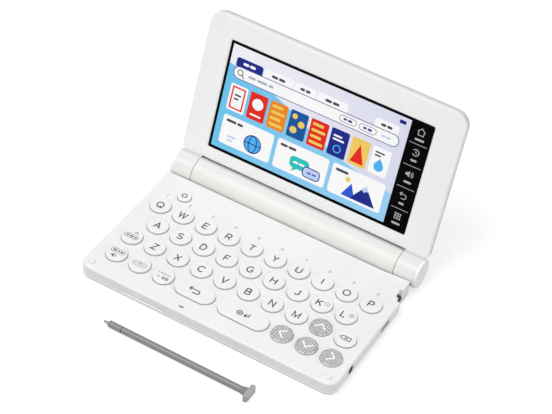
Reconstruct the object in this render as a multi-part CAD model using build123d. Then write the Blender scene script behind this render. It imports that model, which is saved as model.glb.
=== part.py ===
"""Electronic dictionary: clamshell base, tilting screen lid, round keys and a loose stylus.

Units are millimetres.  X runs to the right, Y to the back and Z up.  The origin lies on the table,
on the centreline, midway between the stylus in front and the leaning lid behind.
"""
import math
import os

from build123d import *

# ---------------------------------------------------------------- driving sizes
# Base cases
SIDE_STRIP = 11.315       # side wall to the centre of the top row's end keys
FRONT_STRIP = 16.0        # front wall to the bottom row's centres
REAR_STRIP = 25.55        # top row's centres to the rear wall
FOOT_H = 0.6              # feet stand this far below the bottom case
BOTTOM_CASE_H = 2.3       # underside of the bottom case to the parting line
TOP_CASE_H = 5.5          # parting line to the deck
WALL = 1.4                # side walls of both base cases
DECK_T = 1.0              # key deck
FLOOR_T = 1.1             # floor of the bottom case
CORNER_R = 6.0            # front corners in plan
DECK_EDGE_R = 0.9         # rounding along the deck's edge
BOTTOM_EDGE_R = 1.2       # rounding along the underside's edge
PARTING_BEVEL = 0.4       # bevel that shows the parting line

# Keys
TOP_ROW_KEYS = 10
KEY_R = 5.65
KEY_SPACE = 0.93          # between the flanges of keys in one row
ROW_SPACES = (1.9, 1.0, 0.85)   # between the flanges of two rows, from the front
KEY_RISE = 1.3            # key tops above the deck
KEY_EDGE_R = 0.55
KEY_GAP = 0.18            # between a key and its hole
KEY_TRAVEL = 0.5
FLANGE_LIP = 0.85         # flange beyond the key's side
FLANGE_T = 0.35
FLANGE_GAP = 0.15         # flange to the deck's underside
PLUNGER_R = 1.2
PLUNGER_GAP = 0.1         # plunger to dome when the key is fully down
SECOND_ROW_SHIFT = 7.3    # row starts, right of the top row's start
THIRD_ROW_SHIFT = 0.7
BOTTOM_ROW_SHIFT = 1.15
BOTTOM_LEFT_SPACE = 1.1   # between the flanges of the three left keys of the bottom row
LIST_BACK_SPACE = 0.3     # and on to the wide keys and the arrows
BACK_KEY_SPAN = 10.95     # between the two end centres of the first wide key
BACK_ENTER_SPACE = 1.15
ENTER_ARROW_SPACE = 0.7
ARROW_IN = 10.3           # right wall to the last arrow key
POWER_KEY_IN = 17.9       # left wall to the power key
POWER_KEY_BACK = 12.75    # power key to the rear wall
POWER_KEY_R = 3.75
JACK_KEY_OFFSET = -2.6    # plunger of the key over the earphone jack, from the key's centre

# Boards
BOARD_T = 1.0
BOARD_LIFT = 0.9          # board above the floor
BOARD_EDGE_GAP = 1.2      # board to the case walls
BOARD_CORNER_R = 3.0
TONGUE_SIDE = 7.5         # power key's centre to the right edge of the board's tongue
TONGUE_BACK = 4.7         # power key's centre to the tongue's rear edge
CHIP_T = 0.7
CHIP_SIZES = (12.0, 9.0, 7.0)
CHIP_X = (-30.0, 8.0, 40.0)
SHEET_T = 0.3
SHEET_INSET = 1.0
DOME_R = 2.0
DOME_TOP_R = 1.2
DOME_H = 0.8

OVER = 1.0                # cutters run this far past a surface

# Hinge barrel
BARREL_WALL = 0.75
CELL_SPACE = 0.2          # cells to the barrel's bore
BARREL_GAP = 0.35         # barrel to the rear wall of the cases
BARREL_LIFT = 1.0         # barrel above the table
BULKHEAD_T = 7.4          # solid end of the fixed barrel
BARREL_END_GAP = 0.3      # to the lid's end segments
SADDLE_DROP = 1.5         # saddle's top below the deck
SHAFT_R = 2.0
SHAFT_FIT = 0.05          # running fit of the shaft in the lid
SHAFT_SHORT = 1.4         # bulkhead left behind the shaft's inner end
SHAFT_END_GAP = 0.7       # shaft to the end of its bore in the lid
BORE_END_GAP = 0.2        # that bore to the end cap's plug
CAP_T = 1.6               # flat end cap
CAP_EDGE_R = 0.35
CAP_STEP = 0.3            # cap's rim below the barrel's
CAP_PLUG_R = 1.9
CAP_PLUG_L = 0.6

# Cells, two in a row inside the barrel
CELL_R = 7.15
CELL_L = 49.3
CELL_NUB_R = 2.75
CELL_NUB_L = 1.0
CELL_EDGE_R = 0.6
SPRING_ROOM = 4.8
PLATE_ROOM = 1.6
CONTACT_T = 0.3
CONTACT_W = 8.0
COVER_TOP_DEG = -12.0     # upper edge of the battery cover, seen from the axis
COVER_GAP = 0.3
COVER_GAP_DEG = 2.2       # the same gap along the door's curved top
GRIP_RIBS = 5
GRIP_RIB_R = 0.3
GRIP_RIB_L = 18.0
GRIP_TOP_DEG = -36.0
GRIP_STEP_DEG = 5.0

# Lid
LID_OPEN = 106.1          # angle between the deck and the screen
LID_OPEN_MAX = 140.0      # the same angle at the rear stop
LID_GAP = 1.7             # deck to screen face when closed
LID_T = 6.3
LID_FRAME_T = 3.0         # face to the lid's parting line
LID_SHORT = 1.75          # closed lid's far edge behind the front wall
LID_FOOT = 9.2            # hinge axis to the face's lower edge
LID_CORNER_R = 8.0
LID_FACE_R = 1.0
LID_BACK_R = 2.4
LID_WALL = 1.4
LID_GROOVE = 0.6          # groove that shows the lid's parting line
LID_BACK_T = 1.2
LID_SWEEP_GAP = 0.5       # lid to the barrel that it turns around
LID_SIDE_FOOT = 9.8       # lower end of the lid's side walls, from the axis
WINDOW_LEFT = 14.4        # lid's left side to the window
WINDOW_RIGHT = 15.5
WINDOW_TOP = 12.6         # window to the lid's far edge
WINDOW_FOOT = 15.5        # hinge axis to the window's lower edge
WINDOW_R = 1.0
WINDOW_BEVEL = 0.6
LIP_T = 0.9               # frame in front of the glass
GLASS_T = 0.8
GLASS_LAP = 1.2           # glass behind the frame, each side
GLASS_GAP = 0.1
LCD_LEFT = 1.5            # window's left edge to the lit area
LCD_RIGHT = 12.85
LCD_BELOW = 1.7           # window's lower edge to the lit area
LCD_ABOVE = 1.7
LCD_RIM = 2.0
LCD_T = 2.4

# Stylus and its silo
STYLUS_R = 1.8
STYLUS_L = 85.0
NIB_L = 2.9
NIB_R = 0.85
NIB_TIP_R = 0.5
COLLAR_L = 7.7
GROOVE_W = 0.5
GROOVE_D = 0.3
HEAD_T = 2.6
HEAD_L = 9.2
HEAD_FLARE_L = 3.2        # neck between the shaft and the head
HEAD_FLARE_R = 2.5
HEAD_EDGE_R = 0.9
NIB_SEAT = 0.05
STYLUS_GAP = 20.7         # front wall to the stylus on the table
STYLUS_MID_X = -1.6
SILO_BORE_R = 1.95
SILO_WALL = 0.4
SILO_TO_REAR = 10.2       # silo axis to the rear wall
SILO_DECK_GAP = 0.15      # sleeve to the deck's underside
SILO_END_GAP = 0.5        # stored nib to the silo's closed end
RECESS_D = 2.6            # recess for the head in the right wall
RECESS_FRONT = 15.4       # front end of that recess, from the rear wall
NOTCH_D = 4.2
NOTCH_GAP = 0.1           # sleeve to the notch's sides
FAIRING_L = 14.8
FAIRING_RISE = 1.1
FAIRING_BACK = 1.8        # fairing's front edge behind the silo axis
FAIRING_EDGE_R = 0.4

# Sockets, feet, screws, speaker and small features
JACK_R = 1.75
JACK_DEPTH = 14.0
JACK_FROM_ROW = 2.1       # behind the bottom row
JACK_DROP = 3.5           # jack axis below the deck
JACK_HALF = 2.0
JACK_GAP = 0.3            # jack body to the board and to the pressed key over it
JACK_COLLAR_R = 3.0
JACK_COLLAR_GAP = 0.2
JACK_MOUTH = 0.5
SOCKET_W = 8.2
SOCKET_H = 2.6
SOCKET_L = 4.0
SOCKET_WALL = 0.35
SOCKET_SINK = 0.7         # socket's mouth behind the case's outer face
SOCKET_GAP = 0.15
SOCKET_FROM_ROW = 37.6
NUB_R = 1.6
NUB_RISE = 1.3
NUB_EDGE_R = 0.5
NUB_IN = 5.5              # side wall to the nub
NUB_FROM_FRONT = 4.3
MIC_L = 3.0
MIC_W = 0.9
MIC_X = -15.0
MIC_FROM_FRONT = 3.8
SLOT_L = 24.0             # shallow opening groove in the front wall, at the parting line
SLOT_H = 1.0
SLOT_D = 0.9
SLOT_X = -35.3
FOOT_R = 4.0
FOOT_SEAT = 0.4
FOOT_IN = 11.0            # side wall to the feet
FOOT_FRONT = 10.0         # front wall to the front feet
FOOT_REAR = 10.0          # rear feet to the rear wall
SCREW_R = 0.9
SCREW_HEAD_R = 1.8
SCREW_HEAD_H = 0.8
SCREW_SINK = 0.25
SCREW_L = 5.2
POST_R = 1.8
BOSS_R = 2.4
POST_IN = 22.0            # side walls to the outer front posts
POST_BACK = 5.4           # front wall to the front posts
CORNER_POST_IN = 8.0      # left wall to the left rear post
CORNER_POST_BACK = 3.8
SILO_POST_SHIFT = 5.0     # inner end of the silo to the post in front of it
TAB_X = 51.0
TAB_W = 14.0
TAB_L = 6.8
TAB_GAP = 0.2
SPEAKER_X = -30.0
SPEAKER_W = 20.0
SPEAKER_D = 12.0
SPEAKER_T = 3.2
SPEAKER_RIM = 1.0
SPEAKER_DISH = 0.6
SPEAKER_TO_REAR = 9.8
GRILLE_SLOTS = 5
GRILLE_PITCH = 2.2
GRILLE_W = 1.0
GRILLE_L = 9.0

# ---------------------------------------------------------------- derived places
FLANGE_R = KEY_R + FLANGE_LIP
KEY_PITCH = 2 * FLANGE_R + KEY_SPACE
BODY_W = (TOP_ROW_KEYS - 1) * KEY_PITCH + 2 * SIDE_STRIP
HALF_W = BODY_W / 2
ROW_PITCH = [2 * FLANGE_R + space for space in ROW_SPACES]
BASE_DEPTH = FRONT_STRIP + sum(ROW_PITCH) + REAR_STRIP
CASE_Z = FOOT_H
PARTING_Z = CASE_Z + BOTTOM_CASE_H
DECK_Z = PARTING_Z + TOP_CASE_H
DECK_UNDER_Z = DECK_Z - DECK_T
FLOOR_Z = CASE_Z + FLOOR_T
BOARD_Z = FLOOR_Z + BOARD_LIFT
SHEET_Z = BOARD_Z + BOARD_T
DOME_Z = SHEET_Z + SHEET_T + DOME_H
LID_TURN = 180.0 - LID_OPEN

BARREL_BORE_R = CELL_R + CELL_SPACE
BARREL_R = BARREL_BORE_R + BARREL_WALL
HINGE_Z = BARREL_LIFT + BARREL_R
HINGE_RISE = HINGE_Z - DECK_Z
LID_LENGTH = BASE_DEPTH + BARREL_GAP + BARREL_R - LID_SHORT
FACE_N = HINGE_RISE - LID_GAP
FRAME_N = FACE_N - LID_FRAME_T
BACK_N = FACE_N - LID_T
LID_LEAN = math.radians(LID_TURN)
LID_REACH = ((LID_LENGTH - LID_BACK_R) * math.cos(LID_LEAN)
             - (BACK_N + LID_BACK_R) * math.sin(LID_LEAN) + LID_BACK_R)
REAR_REACH = BASE_DEPTH + BARREL_GAP + BARREL_R + LID_REACH
FRONT_Y = (STYLUS_GAP + HEAD_L / 2 - REAR_REACH) / 2
REAR_Y = FRONT_Y + BASE_DEPTH
HINGE_Y = REAR_Y + BARREL_GAP + BARREL_R

ROW4_Y = FRONT_Y + FRONT_STRIP
ROW3_Y = ROW4_Y + ROW_PITCH[0]
ROW2_Y = ROW3_Y + ROW_PITCH[1]
ROW1_Y = ROW2_Y + ROW_PITCH[2]
TOP_ROW_X = -HALF_W + SIDE_STRIP
POWER_X, POWER_Y = -HALF_W + POWER_KEY_IN, REAR_Y - POWER_KEY_BACK
BOTTOM_PITCH = 2 * FLANGE_R + BOTTOM_LEFT_SPACE
BOTTOM_ROW_X = TOP_ROW_X + BOTTOM_ROW_SHIFT
ARROWS_X = HALF_W - ARROW_IN - 2 * KEY_PITCH
BACK_X0 = BOTTOM_ROW_X + 2 * BOTTOM_PITCH + 2 * FLANGE_R + LIST_BACK_SPACE
BACK_X1 = BACK_X0 + BACK_KEY_SPAN
ENTER_X0 = BACK_X1 + 2 * FLANGE_R + BACK_ENTER_SPACE
ENTER_X1 = ARROWS_X - 2 * FLANGE_R - ENTER_ARROW_SPACE

CELL_PAIR = 2 * (CELL_L + CELL_NUB_L)
BAY_HALF = (CELL_PAIR + SPRING_ROOM + PLATE_ROOM) / 2
BARREL_HALF = BAY_HALF + BULKHEAD_T
SEGMENT_IN = BARREL_HALF + BARREL_END_GAP
SEGMENT_OUT = HALF_W - CAP_T
BORE_END = SEGMENT_OUT - CAP_PLUG_L - BORE_END_GAP
SHAFT_END = BORE_END - SHAFT_END_GAP

SILO_Y = REAR_Y - SILO_TO_REAR
SILO_Z = DECK_UNDER_Z - SILO_DECK_GAP - SILO_WALL - SILO_BORE_R
SILO_MOUTH_X = HALF_W - NOTCH_D
RECESS_X = HALF_W - RECESS_D
NOTCH_HALF = SILO_BORE_R + SILO_WALL + NOTCH_GAP
SILO_END_X = RECESS_X - (STYLUS_L - HEAD_T) - SILO_END_GAP
JACK_Y = ROW4_Y + JACK_FROM_ROW
JACK_Z = DECK_Z - JACK_DROP
SOCKET_Y = ROW4_Y + SOCKET_FROM_ROW
SOCKET_X1 = HALF_W - SOCKET_SINK
SOCKET_X0 = SOCKET_X1 - SOCKET_L
STYLUS_Y = FRONT_Y - STYLUS_GAP
SPEAKER_Y = REAR_Y - SPEAKER_TO_REAR

POST_X = HALF_W - POST_IN
FRONT_POSTS = tuple((x, FRONT_Y + POST_BACK) for x in (-POST_X, 0.0, POST_X))
REAR_POSTS = (
    (-HALF_W + CORNER_POST_IN, REAR_Y - CORNER_POST_BACK),
    (SILO_END_X + SILO_POST_SHIFT, SPEAKER_Y - SPEAKER_D / 2 + SPEAKER_RIM),
    (POST_X, SPEAKER_Y - SPEAKER_D / 2 + SPEAKER_RIM),
)
POST_PLACES = FRONT_POSTS + REAR_POSTS
TAB_PLACES = ((-TAB_X, REAR_Y - TAB_L / 2), (TAB_X, REAR_Y - TAB_L / 2))
FOOT_PLACES = tuple(
    (side * (HALF_W - FOOT_IN), y) for side in (-1, 1) for y in (FRONT_Y + FOOT_FRONT, REAR_Y - FOOT_REAR)
)


def row_places(names, first_x, pitch, y):
    """Name and centre of each round key in one row."""
    return [(name, first_x + index * pitch, y) for index, name in enumerate(names)]


ROUND_KEYS = (
    row_places("q w e r t y u i o p".split(), TOP_ROW_X, KEY_PITCH, ROW1_Y)
    + row_places("a s d f g h j k l".split(), TOP_ROW_X + SECOND_ROW_SHIFT, KEY_PITCH, ROW2_Y)
    + row_places("mode z x c v b n m up delete".split(), TOP_ROW_X + THIRD_ROW_SHIFT, KEY_PITCH, ROW3_Y)
    + row_places("audio shift list".split(), BOTTOM_ROW_X, BOTTOM_PITCH, ROW4_Y)
    + row_places("left down right".split(), ARROWS_X, KEY_PITCH, ROW4_Y)
)
WIDE_KEYS = (("back", BACK_X0, BACK_X1), ("enter", ENTER_X0, ENTER_X1))


# ---------------------------------------------------------------- small helpers
def block(x0, x1, y0, y1, z0, z1):
    """Box between two corners."""
    centre = Pos((x0 + x1) / 2, (y0 + y1) / 2, (z0 + z1) / 2)
    return centre * Box(x1 - x0, y1 - y0, z1 - z0)


def plate(x0, x1, y0, y1, radius, z0, z1):
    """Plate with rounded corners in plan."""
    outline = Pos((x0 + x1) / 2, (y0 + y1) / 2, z0) * RectangleRounded(x1 - x0, y1 - y0, radius)
    return extrude(outline, z1 - z0)


def post(x, y, radius, z0, z1):
    """Upright cylinder between two heights."""
    return Pos(x, y, (z0 + z1) / 2) * Cylinder(radius, z1 - z0)


def rod(y, z, radius, x0, x1):
    """Cylinder along X between two stations."""
    return Pos((x0 + x1) / 2, y, z) * Rot(0, 90, 0) * Cylinder(radius, x1 - x0)


def pill(x0, x1, y, radius, z0, z1):
    """Upright solid with a round end at each of two stations along X, or a cylinder where they meet."""
    if x0 == x1:
        return post(x0, y, radius, z0, z1)
    outline = Pos((x0 + x1) / 2, y, z0) * SlotCenterToCenter(x1 - x0, 2 * radius)
    return extrude(outline, z1 - z0)


def on_hinge(shape):
    """Move a shape from the lid's own frame, face up and axis at the origin, to the open lid."""
    return Pos(0, HINGE_Y, HINGE_Z) * Rot(LID_TURN, 0, 0) * shape


# ---------------------------------------------------------------- base cases
def case_outline(inset, z0, z1):
    """Plan of the base cases, with its rear cut square to meet the barrel."""
    tail = 3 * CORNER_R
    radius = CORNER_R - inset
    left, right = -HALF_W + inset, HALF_W - inset
    body = plate(left, right, FRONT_Y + inset, REAR_Y + tail, radius, z0, z1)
    return body - block(left - OVER, right + OVER, REAR_Y - inset, REAR_Y + tail + OVER, z0 - OVER, z1 + OVER)


def stylus_fairing():
    """Ramp on the deck over the silo, highest at the recess for the stylus's head."""
    x0, x1 = RECESS_X - FAIRING_L, RECESS_X
    low, high = DECK_Z - DECK_T / 2, DECK_Z + FAIRING_RISE
    hump = block(x0, x1, SILO_Y + FAIRING_BACK, REAR_Y, low, high)
    hump = fillet(hump.edges().filter_by(Axis.X).group_by(Axis.Z)[-1].sort_by(Axis.Y)[0], FAIRING_EDGE_R)
    slope = Plane.XZ * make_face(Polyline((x0, low), (x0, DECK_Z), (x1, high), (x1, low), close=True))
    return hump & Pos(0, REAR_Y, 0) * extrude(slope, BASE_DEPTH)


def key_holes():
    """Everything that the keys pass through, as one cutter."""
    top = DECK_Z + FAIRING_RISE + OVER
    low = DECK_UNDER_Z - OVER
    cutters = [post(x, y, KEY_R + KEY_GAP, low, top) for _, x, y in ROUND_KEYS]
    cutters += [pill(x0, x1, ROW4_Y, KEY_R + KEY_GAP, low, top) for _, x0, x1 in WIDE_KEYS]
    cutters.append(post(POWER_X, POWER_Y, POWER_KEY_R + KEY_GAP, low, top))
    return cutters


def side_recess():
    """Recess for the stylus's head, through the whole height of the right wall."""
    return block(RECESS_X, HALF_W + OVER, REAR_Y - RECESS_FRONT, REAR_Y + OVER,
                 CASE_Z - OVER, DECK_Z + FAIRING_RISE + OVER)


def notch():
    """Deeper notch at the silo's mouth, from the parting line up."""
    return block(SILO_MOUTH_X, HALF_W + OVER, SILO_Y - NOTCH_HALF, SILO_Y + NOTCH_HALF,
                 PARTING_Z, DECK_Z + FAIRING_RISE + OVER)


def base_top_case():
    """Deck with its skirt, posts, lid nubs, key holes and side openings."""
    shell = case_outline(0, PARTING_Z, DECK_Z)
    rim = [edge for edge in shell.edges().group_by(Axis.Z)[-1] if edge.center().Y < REAR_Y - 0.01]
    shell = fillet(rim, DECK_EDGE_R)
    inside = case_outline(WALL, PARTING_Z - OVER, DECK_UNDER_Z)
    pocket_x = SILO_MOUTH_X - WALL
    inside -= block(RECESS_X - WALL, HALF_W, REAR_Y - RECESS_FRONT - WALL, REAR_Y,
                    PARTING_Z - 2 * OVER, DECK_Z)
    inside -= block(pocket_x, HALF_W, SILO_Y - NOTCH_HALF - WALL, SILO_Y + NOTCH_HALF + WALL,
                    PARTING_Z - 2 * OVER, DECK_Z)
    shell -= inside
    shell += stylus_fairing()
    for x, y in FRONT_POSTS:
        shell += post(x, y, POST_R, SHEET_Z, DECK_UNDER_Z)
    for x, y in REAR_POSTS:
        shell += post(x, y, POST_R, BOARD_Z, DECK_UNDER_Z)
    for side in (-1, 1):
        nub = post(side * (HALF_W - NUB_IN), FRONT_Y + NUB_FROM_FRONT, NUB_R, DECK_UNDER_Z, DECK_Z + NUB_RISE)
        shell += fillet(nub.edges().group_by(Axis.Z)[-1], NUB_EDGE_R)
    for cutter in key_holes():
        shell -= cutter
    shell -= side_recess() + notch()
    shell -= rod(SILO_Y, SILO_Z, SILO_BORE_R + SILO_WALL, pocket_x - OVER, HALF_W)
    shell -= rod(JACK_Y, JACK_Z, JACK_COLLAR_R + JACK_COLLAR_GAP, HALF_W - WALL - OVER, HALF_W + OVER)
    shell -= socket_space()
    mic_half = (MIC_L - MIC_W) / 2
    shell -= pill(MIC_X - mic_half, MIC_X + mic_half, FRONT_Y + MIC_FROM_FRONT, MIC_W / 2,
                  DECK_UNDER_Z - OVER, DECK_Z + OVER)
    shell -= block(SLOT_X - SLOT_L / 2, SLOT_X + SLOT_L / 2, FRONT_Y - OVER, FRONT_Y + SLOT_D,
                   PARTING_Z - OVER, PARTING_Z + SLOT_H)
    for x, y in POST_PLACES:
        shell -= post(x, y, SCREW_R, BOARD_Z - OVER, DECK_UNDER_Z)
    return shell - tab_spaces()


def tab_spaces():
    """Gaps in the rear wall that the barrel's two tabs pass through."""
    low, high = PARTING_Z, DECK_Z - SADDLE_DROP + TAB_GAP
    left = block(-TAB_X - TAB_W / 2 - TAB_GAP, -TAB_X + TAB_W / 2 + TAB_GAP,
                 REAR_Y - WALL - OVER, REAR_Y + OVER, low, high)
    return left + left.mirror(Plane.YZ)


def socket_space():
    """Opening for the side socket."""
    half = SOCKET_W / 2 + SOCKET_GAP
    return block(SOCKET_X0, HALF_W + OVER, SOCKET_Y - half, SOCKET_Y + half,
                 SHEET_Z - SOCKET_GAP, SHEET_Z + SOCKET_H + SOCKET_GAP)


def base_bottom_case():
    """Shallow tray with bosses, foot seats, speaker grille and screw sinks."""
    shell = case_outline(0, CASE_Z, PARTING_Z)
    rim = [edge for edge in shell.edges().group_by(Axis.Z)[0] if edge.center().Y < REAR_Y - 0.01]
    shell = fillet(rim, BOTTOM_EDGE_R)
    lip = [edge for edge in shell.edges().group_by(Axis.Z)[-1] if edge.center().Y < REAR_Y - 0.01]
    shell = chamfer(lip, PARTING_BEVEL)
    shell -= case_outline(WALL, FLOOR_Z, PARTING_Z + OVER)
    ledge_x = SILO_MOUTH_X - WALL
    shell += block(ledge_x, HALF_W - WALL, REAR_Y - RECESS_FRONT - WALL, REAR_Y - WALL / 2,
                   FLOOR_Z - FLOOR_T / 2, PARTING_Z)
    shell -= side_recess()
    for x, y in POST_PLACES:
        shell += post(x, y, BOSS_R, FLOOR_Z - FLOOR_T / 2, BOARD_Z)
    for x, y in TAB_PLACES:
        shell += post(x, y, BOSS_R, FLOOR_Z - FLOOR_T / 2, PARTING_Z + TAB_GAP)
    for x, y in POST_PLACES + TAB_PLACES:
        shell -= post(x, y, SCREW_R + TAB_GAP, CASE_Z - OVER, PARTING_Z + OVER)
        shell -= post(x, y, SCREW_HEAD_R + TAB_GAP, CASE_Z - OVER, CASE_Z + SCREW_SINK + SCREW_HEAD_H)
    for x, y in FOOT_PLACES:
        shell -= post(x, y, FOOT_R, CASE_Z - OVER, CASE_Z + FOOT_SEAT)
    for index in range(GRILLE_SLOTS):
        x = SPEAKER_X + (index - (GRILLE_SLOTS - 1) / 2) * GRILLE_PITCH
        slot = block(x - GRILLE_W / 2, x + GRILLE_W / 2, SPEAKER_Y - GRILLE_L / 2, SPEAKER_Y + GRILLE_L / 2,
                     CASE_Z - OVER, FLOOR_Z + OVER)
        shell -= slot
    shell -= rod(JACK_Y, JACK_Z, JACK_COLLAR_R + JACK_COLLAR_GAP, HALF_W - WALL - OVER, HALF_W + OVER)
    return shell - rod(SILO_Y, SILO_Z, SILO_BORE_R + SILO_WALL, ledge_x - OVER, HALF_W + OVER)


def rubber_feet():
    """Four round feet set into the bottom case."""
    foot = fillet(post(0, 0, FOOT_R, 0, FOOT_H + FOOT_SEAT).edges().group_by(Axis.Z)[0], FOOT_H / 2)
    return Compound(children=[Pos(x, y, 0) * foot for x, y in FOOT_PLACES])


def case_screws():
    """Screws of the case and of the barrel's tabs, one shape."""
    head_z = CASE_Z + SCREW_SINK
    shank = post(0, 0, SCREW_R, head_z, head_z + SCREW_L)
    screw = shank + post(0, 0, SCREW_HEAD_R, head_z, head_z + SCREW_HEAD_H)
    cross = block(-1, 1, -SCREW_SINK / 2, SCREW_SINK / 2, head_z - OVER, head_z + SCREW_HEAD_H / 2)
    screw = screw - cross - Rot(0, 0, 90) * cross
    return Compound(children=[Pos(x, y, 0) * screw for x, y in POST_PLACES + TAB_PLACES])


# ---------------------------------------------------------------- boards and sockets
def board_outline(inset, z0, z1):
    """Board plan: a rectangle with a tongue under the power key and a bay for the jack."""
    edge = WALL + BOARD_EDGE_GAP + inset
    back = SPEAKER_Y - SPEAKER_D / 2 - BOARD_EDGE_GAP - inset
    outline = plate(-HALF_W + edge, HALF_W - edge, FRONT_Y + edge, back, BOARD_CORNER_R, z0, z1)
    tongue = block(-HALF_W + edge, POWER_X + TONGUE_SIDE, ROW1_Y, POWER_Y + TONGUE_BACK - inset, z0, z1)
    bay = block(HALF_W - JACK_DEPTH - JACK_GAP, HALF_W, JACK_Y - JACK_HALF - JACK_GAP,
                JACK_Y + JACK_HALF + JACK_GAP, z0 - OVER, z1 + OVER)
    return outline + tongue - bay


def main_board():
    """Circuit board with three packages on its underside."""
    board = board_outline(0, BOARD_Z, SHEET_Z)
    for x, side in zip(CHIP_X, CHIP_SIZES):
        board += block(x - side / 2, x + side / 2, ROW3_Y - side / 2, ROW3_Y + side / 2,
                       BOARD_Z - CHIP_T, BOARD_Z + BOARD_T / 2)
    for x, y in FRONT_POSTS:
        board -= post(x, y, SCREW_R + TAB_GAP, BOARD_Z - OVER, SHEET_Z + OVER)
    return board


def plunger_shift(name):
    """How far a key's plunger and dome stand off its centre, along Y."""
    return JACK_KEY_OFFSET if name == "right" else 0.0


def key_dome_sheet():
    """Contact sheet with one dome under each key."""
    sheet = board_outline(SHEET_INSET, SHEET_Z, SHEET_Z + SHEET_T)
    dome = Pos(0, 0, SHEET_Z + SHEET_T + DOME_H / 2) * Cone(DOME_R, DOME_TOP_R, DOME_H)
    places = [(x, y + plunger_shift(name)) for name, x, y in ROUND_KEYS]
    places += [((x0 + x1) / 2, ROW4_Y) for _, x0, x1 in WIDE_KEYS]
    places.append((POWER_X, POWER_Y))
    for x, y in places:
        sheet += Pos(x, y, 0) * dome
    for x, y in FRONT_POSTS:
        sheet -= post(x, y, POST_R + TAB_GAP, SHEET_Z - OVER, SHEET_Z + OVER)
    return sheet - block(SOCKET_X0 - SHEET_INSET, HALF_W, SOCKET_Y - SOCKET_W / 2 - SHEET_INSET,
                         SOCKET_Y + SOCKET_W / 2 + SHEET_INSET, SHEET_Z - OVER, SHEET_Z + OVER)


def earphone_jack():
    """Jack body with its collar in the right wall."""
    body_x1 = HALF_W - WALL - JACK_GAP
    body = block(HALF_W - JACK_DEPTH, body_x1, JACK_Y - JACK_HALF, JACK_Y + JACK_HALF,
                 JACK_Z - JACK_HALF, JACK_Z + JACK_HALF)
    collar = rod(JACK_Y, JACK_Z, JACK_COLLAR_R, body_x1 - JACK_MOUTH, HALF_W)
    jack = body + collar - rod(JACK_Y, JACK_Z, JACK_R, HALF_W - JACK_DEPTH - OVER, HALF_W + OVER)
    mouth = Rot(0, 90, 0) * Cone(JACK_R, JACK_R + JACK_MOUTH, JACK_MOUTH)
    return jack - Pos(HALF_W - JACK_MOUTH / 2, JACK_Y, JACK_Z) * mouth


def side_socket():
    """Flat metal socket on the board's right edge."""
    x0, x1, low = SOCKET_X0, SOCKET_X1, SHEET_Z
    body = block(x0, x1, SOCKET_Y - SOCKET_W / 2, SOCKET_Y + SOCKET_W / 2, low, low + SOCKET_H)
    hollow = block(x0 + SOCKET_WALL, x1 + OVER, SOCKET_Y - SOCKET_W / 2 + SOCKET_WALL,
                   SOCKET_Y + SOCKET_W / 2 - SOCKET_WALL, low + SOCKET_WALL, low + SOCKET_H - SOCKET_WALL)
    tongue = block(x0, x1 - SOCKET_WALL, SOCKET_Y - SOCKET_W / 4, SOCKET_Y + SOCKET_W / 4,
                   low + SOCKET_H / 2 - SOCKET_WALL, low + SOCKET_H / 2 + SOCKET_WALL)
    return body - hollow + tongue


def speaker():
    """Oval speaker over the grille."""
    radius = SPEAKER_D / 2
    x0, x1 = SPEAKER_X - SPEAKER_W / 2 + radius, SPEAKER_X + SPEAKER_W / 2 - radius
    body = pill(x0, x1, SPEAKER_Y, radius, FLOOR_Z, FLOOR_Z + SPEAKER_T)
    cone = pill(x0, x1, SPEAKER_Y, radius - SPEAKER_RIM, FLOOR_Z - OVER, FLOOR_Z + SPEAKER_DISH)
    return body - cone


def stylus_tube():
    """Thin sleeve that guides the stylus, closed at its inner end and an open trough in the notch."""
    outer_r = SILO_BORE_R + SILO_WALL
    sleeve = rod(SILO_Y, SILO_Z, outer_r, SILO_END_X - SILO_WALL, RECESS_X)
    sleeve -= block(SILO_MOUTH_X, RECESS_X + OVER, SILO_Y - outer_r - OVER, SILO_Y + outer_r + OVER,
                    SILO_Z, SILO_Z + outer_r + OVER)
    return sleeve - rod(SILO_Y, SILO_Z, SILO_BORE_R, SILO_END_X, RECESS_X + OVER)


# ---------------------------------------------------------------- keys
def key_cap(x0, x1, y, radius, shift=0.0):
    """Round or wide key: cap, flange under the deck, and plunger."""
    flange_top = DECK_UNDER_Z - FLANGE_GAP
    flange_low = flange_top - FLANGE_T
    cap = pill(x0, x1, y, radius, flange_low, DECK_Z + KEY_RISE)
    cap = fillet(cap.edges().group_by(Axis.Z)[-1], KEY_EDGE_R)
    cap += pill(x0, x1, y, radius + FLANGE_LIP, flange_low, flange_top)
    tip_z = DOME_Z + KEY_TRAVEL + PLUNGER_GAP
    return cap + post((x0 + x1) / 2, y + shift, PLUNGER_R, tip_z, flange_low + FLANGE_T / 2)


def jack_key():
    """Key over the earphone jack: its plunger stands forward, and a channel clears the jack."""
    name, x, y = ROUND_KEYS[-1]
    key = key_cap(x, x, y, KEY_R, plunger_shift(name))
    half = JACK_HALF + JACK_GAP
    top = JACK_Z + half + KEY_TRAVEL
    return key - block(x - KEY_PITCH, x + KEY_PITCH, JACK_Y - half, JACK_Y + half, DOME_Z, top)


# ---------------------------------------------------------------- barrel and battery
def barrel_section():
    """Outer section of the fixed barrel: round above, with a flat saddle below its front."""
    tube = rod(HINGE_Y, HINGE_Z, BARREL_R, -BARREL_HALF, BARREL_HALF)
    saddle = block(-BARREL_HALF, BARREL_HALF, REAR_Y, HINGE_Y, HINGE_Z - BARREL_R, DECK_Z - SADDLE_DROP)
    return tube + saddle


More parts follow.
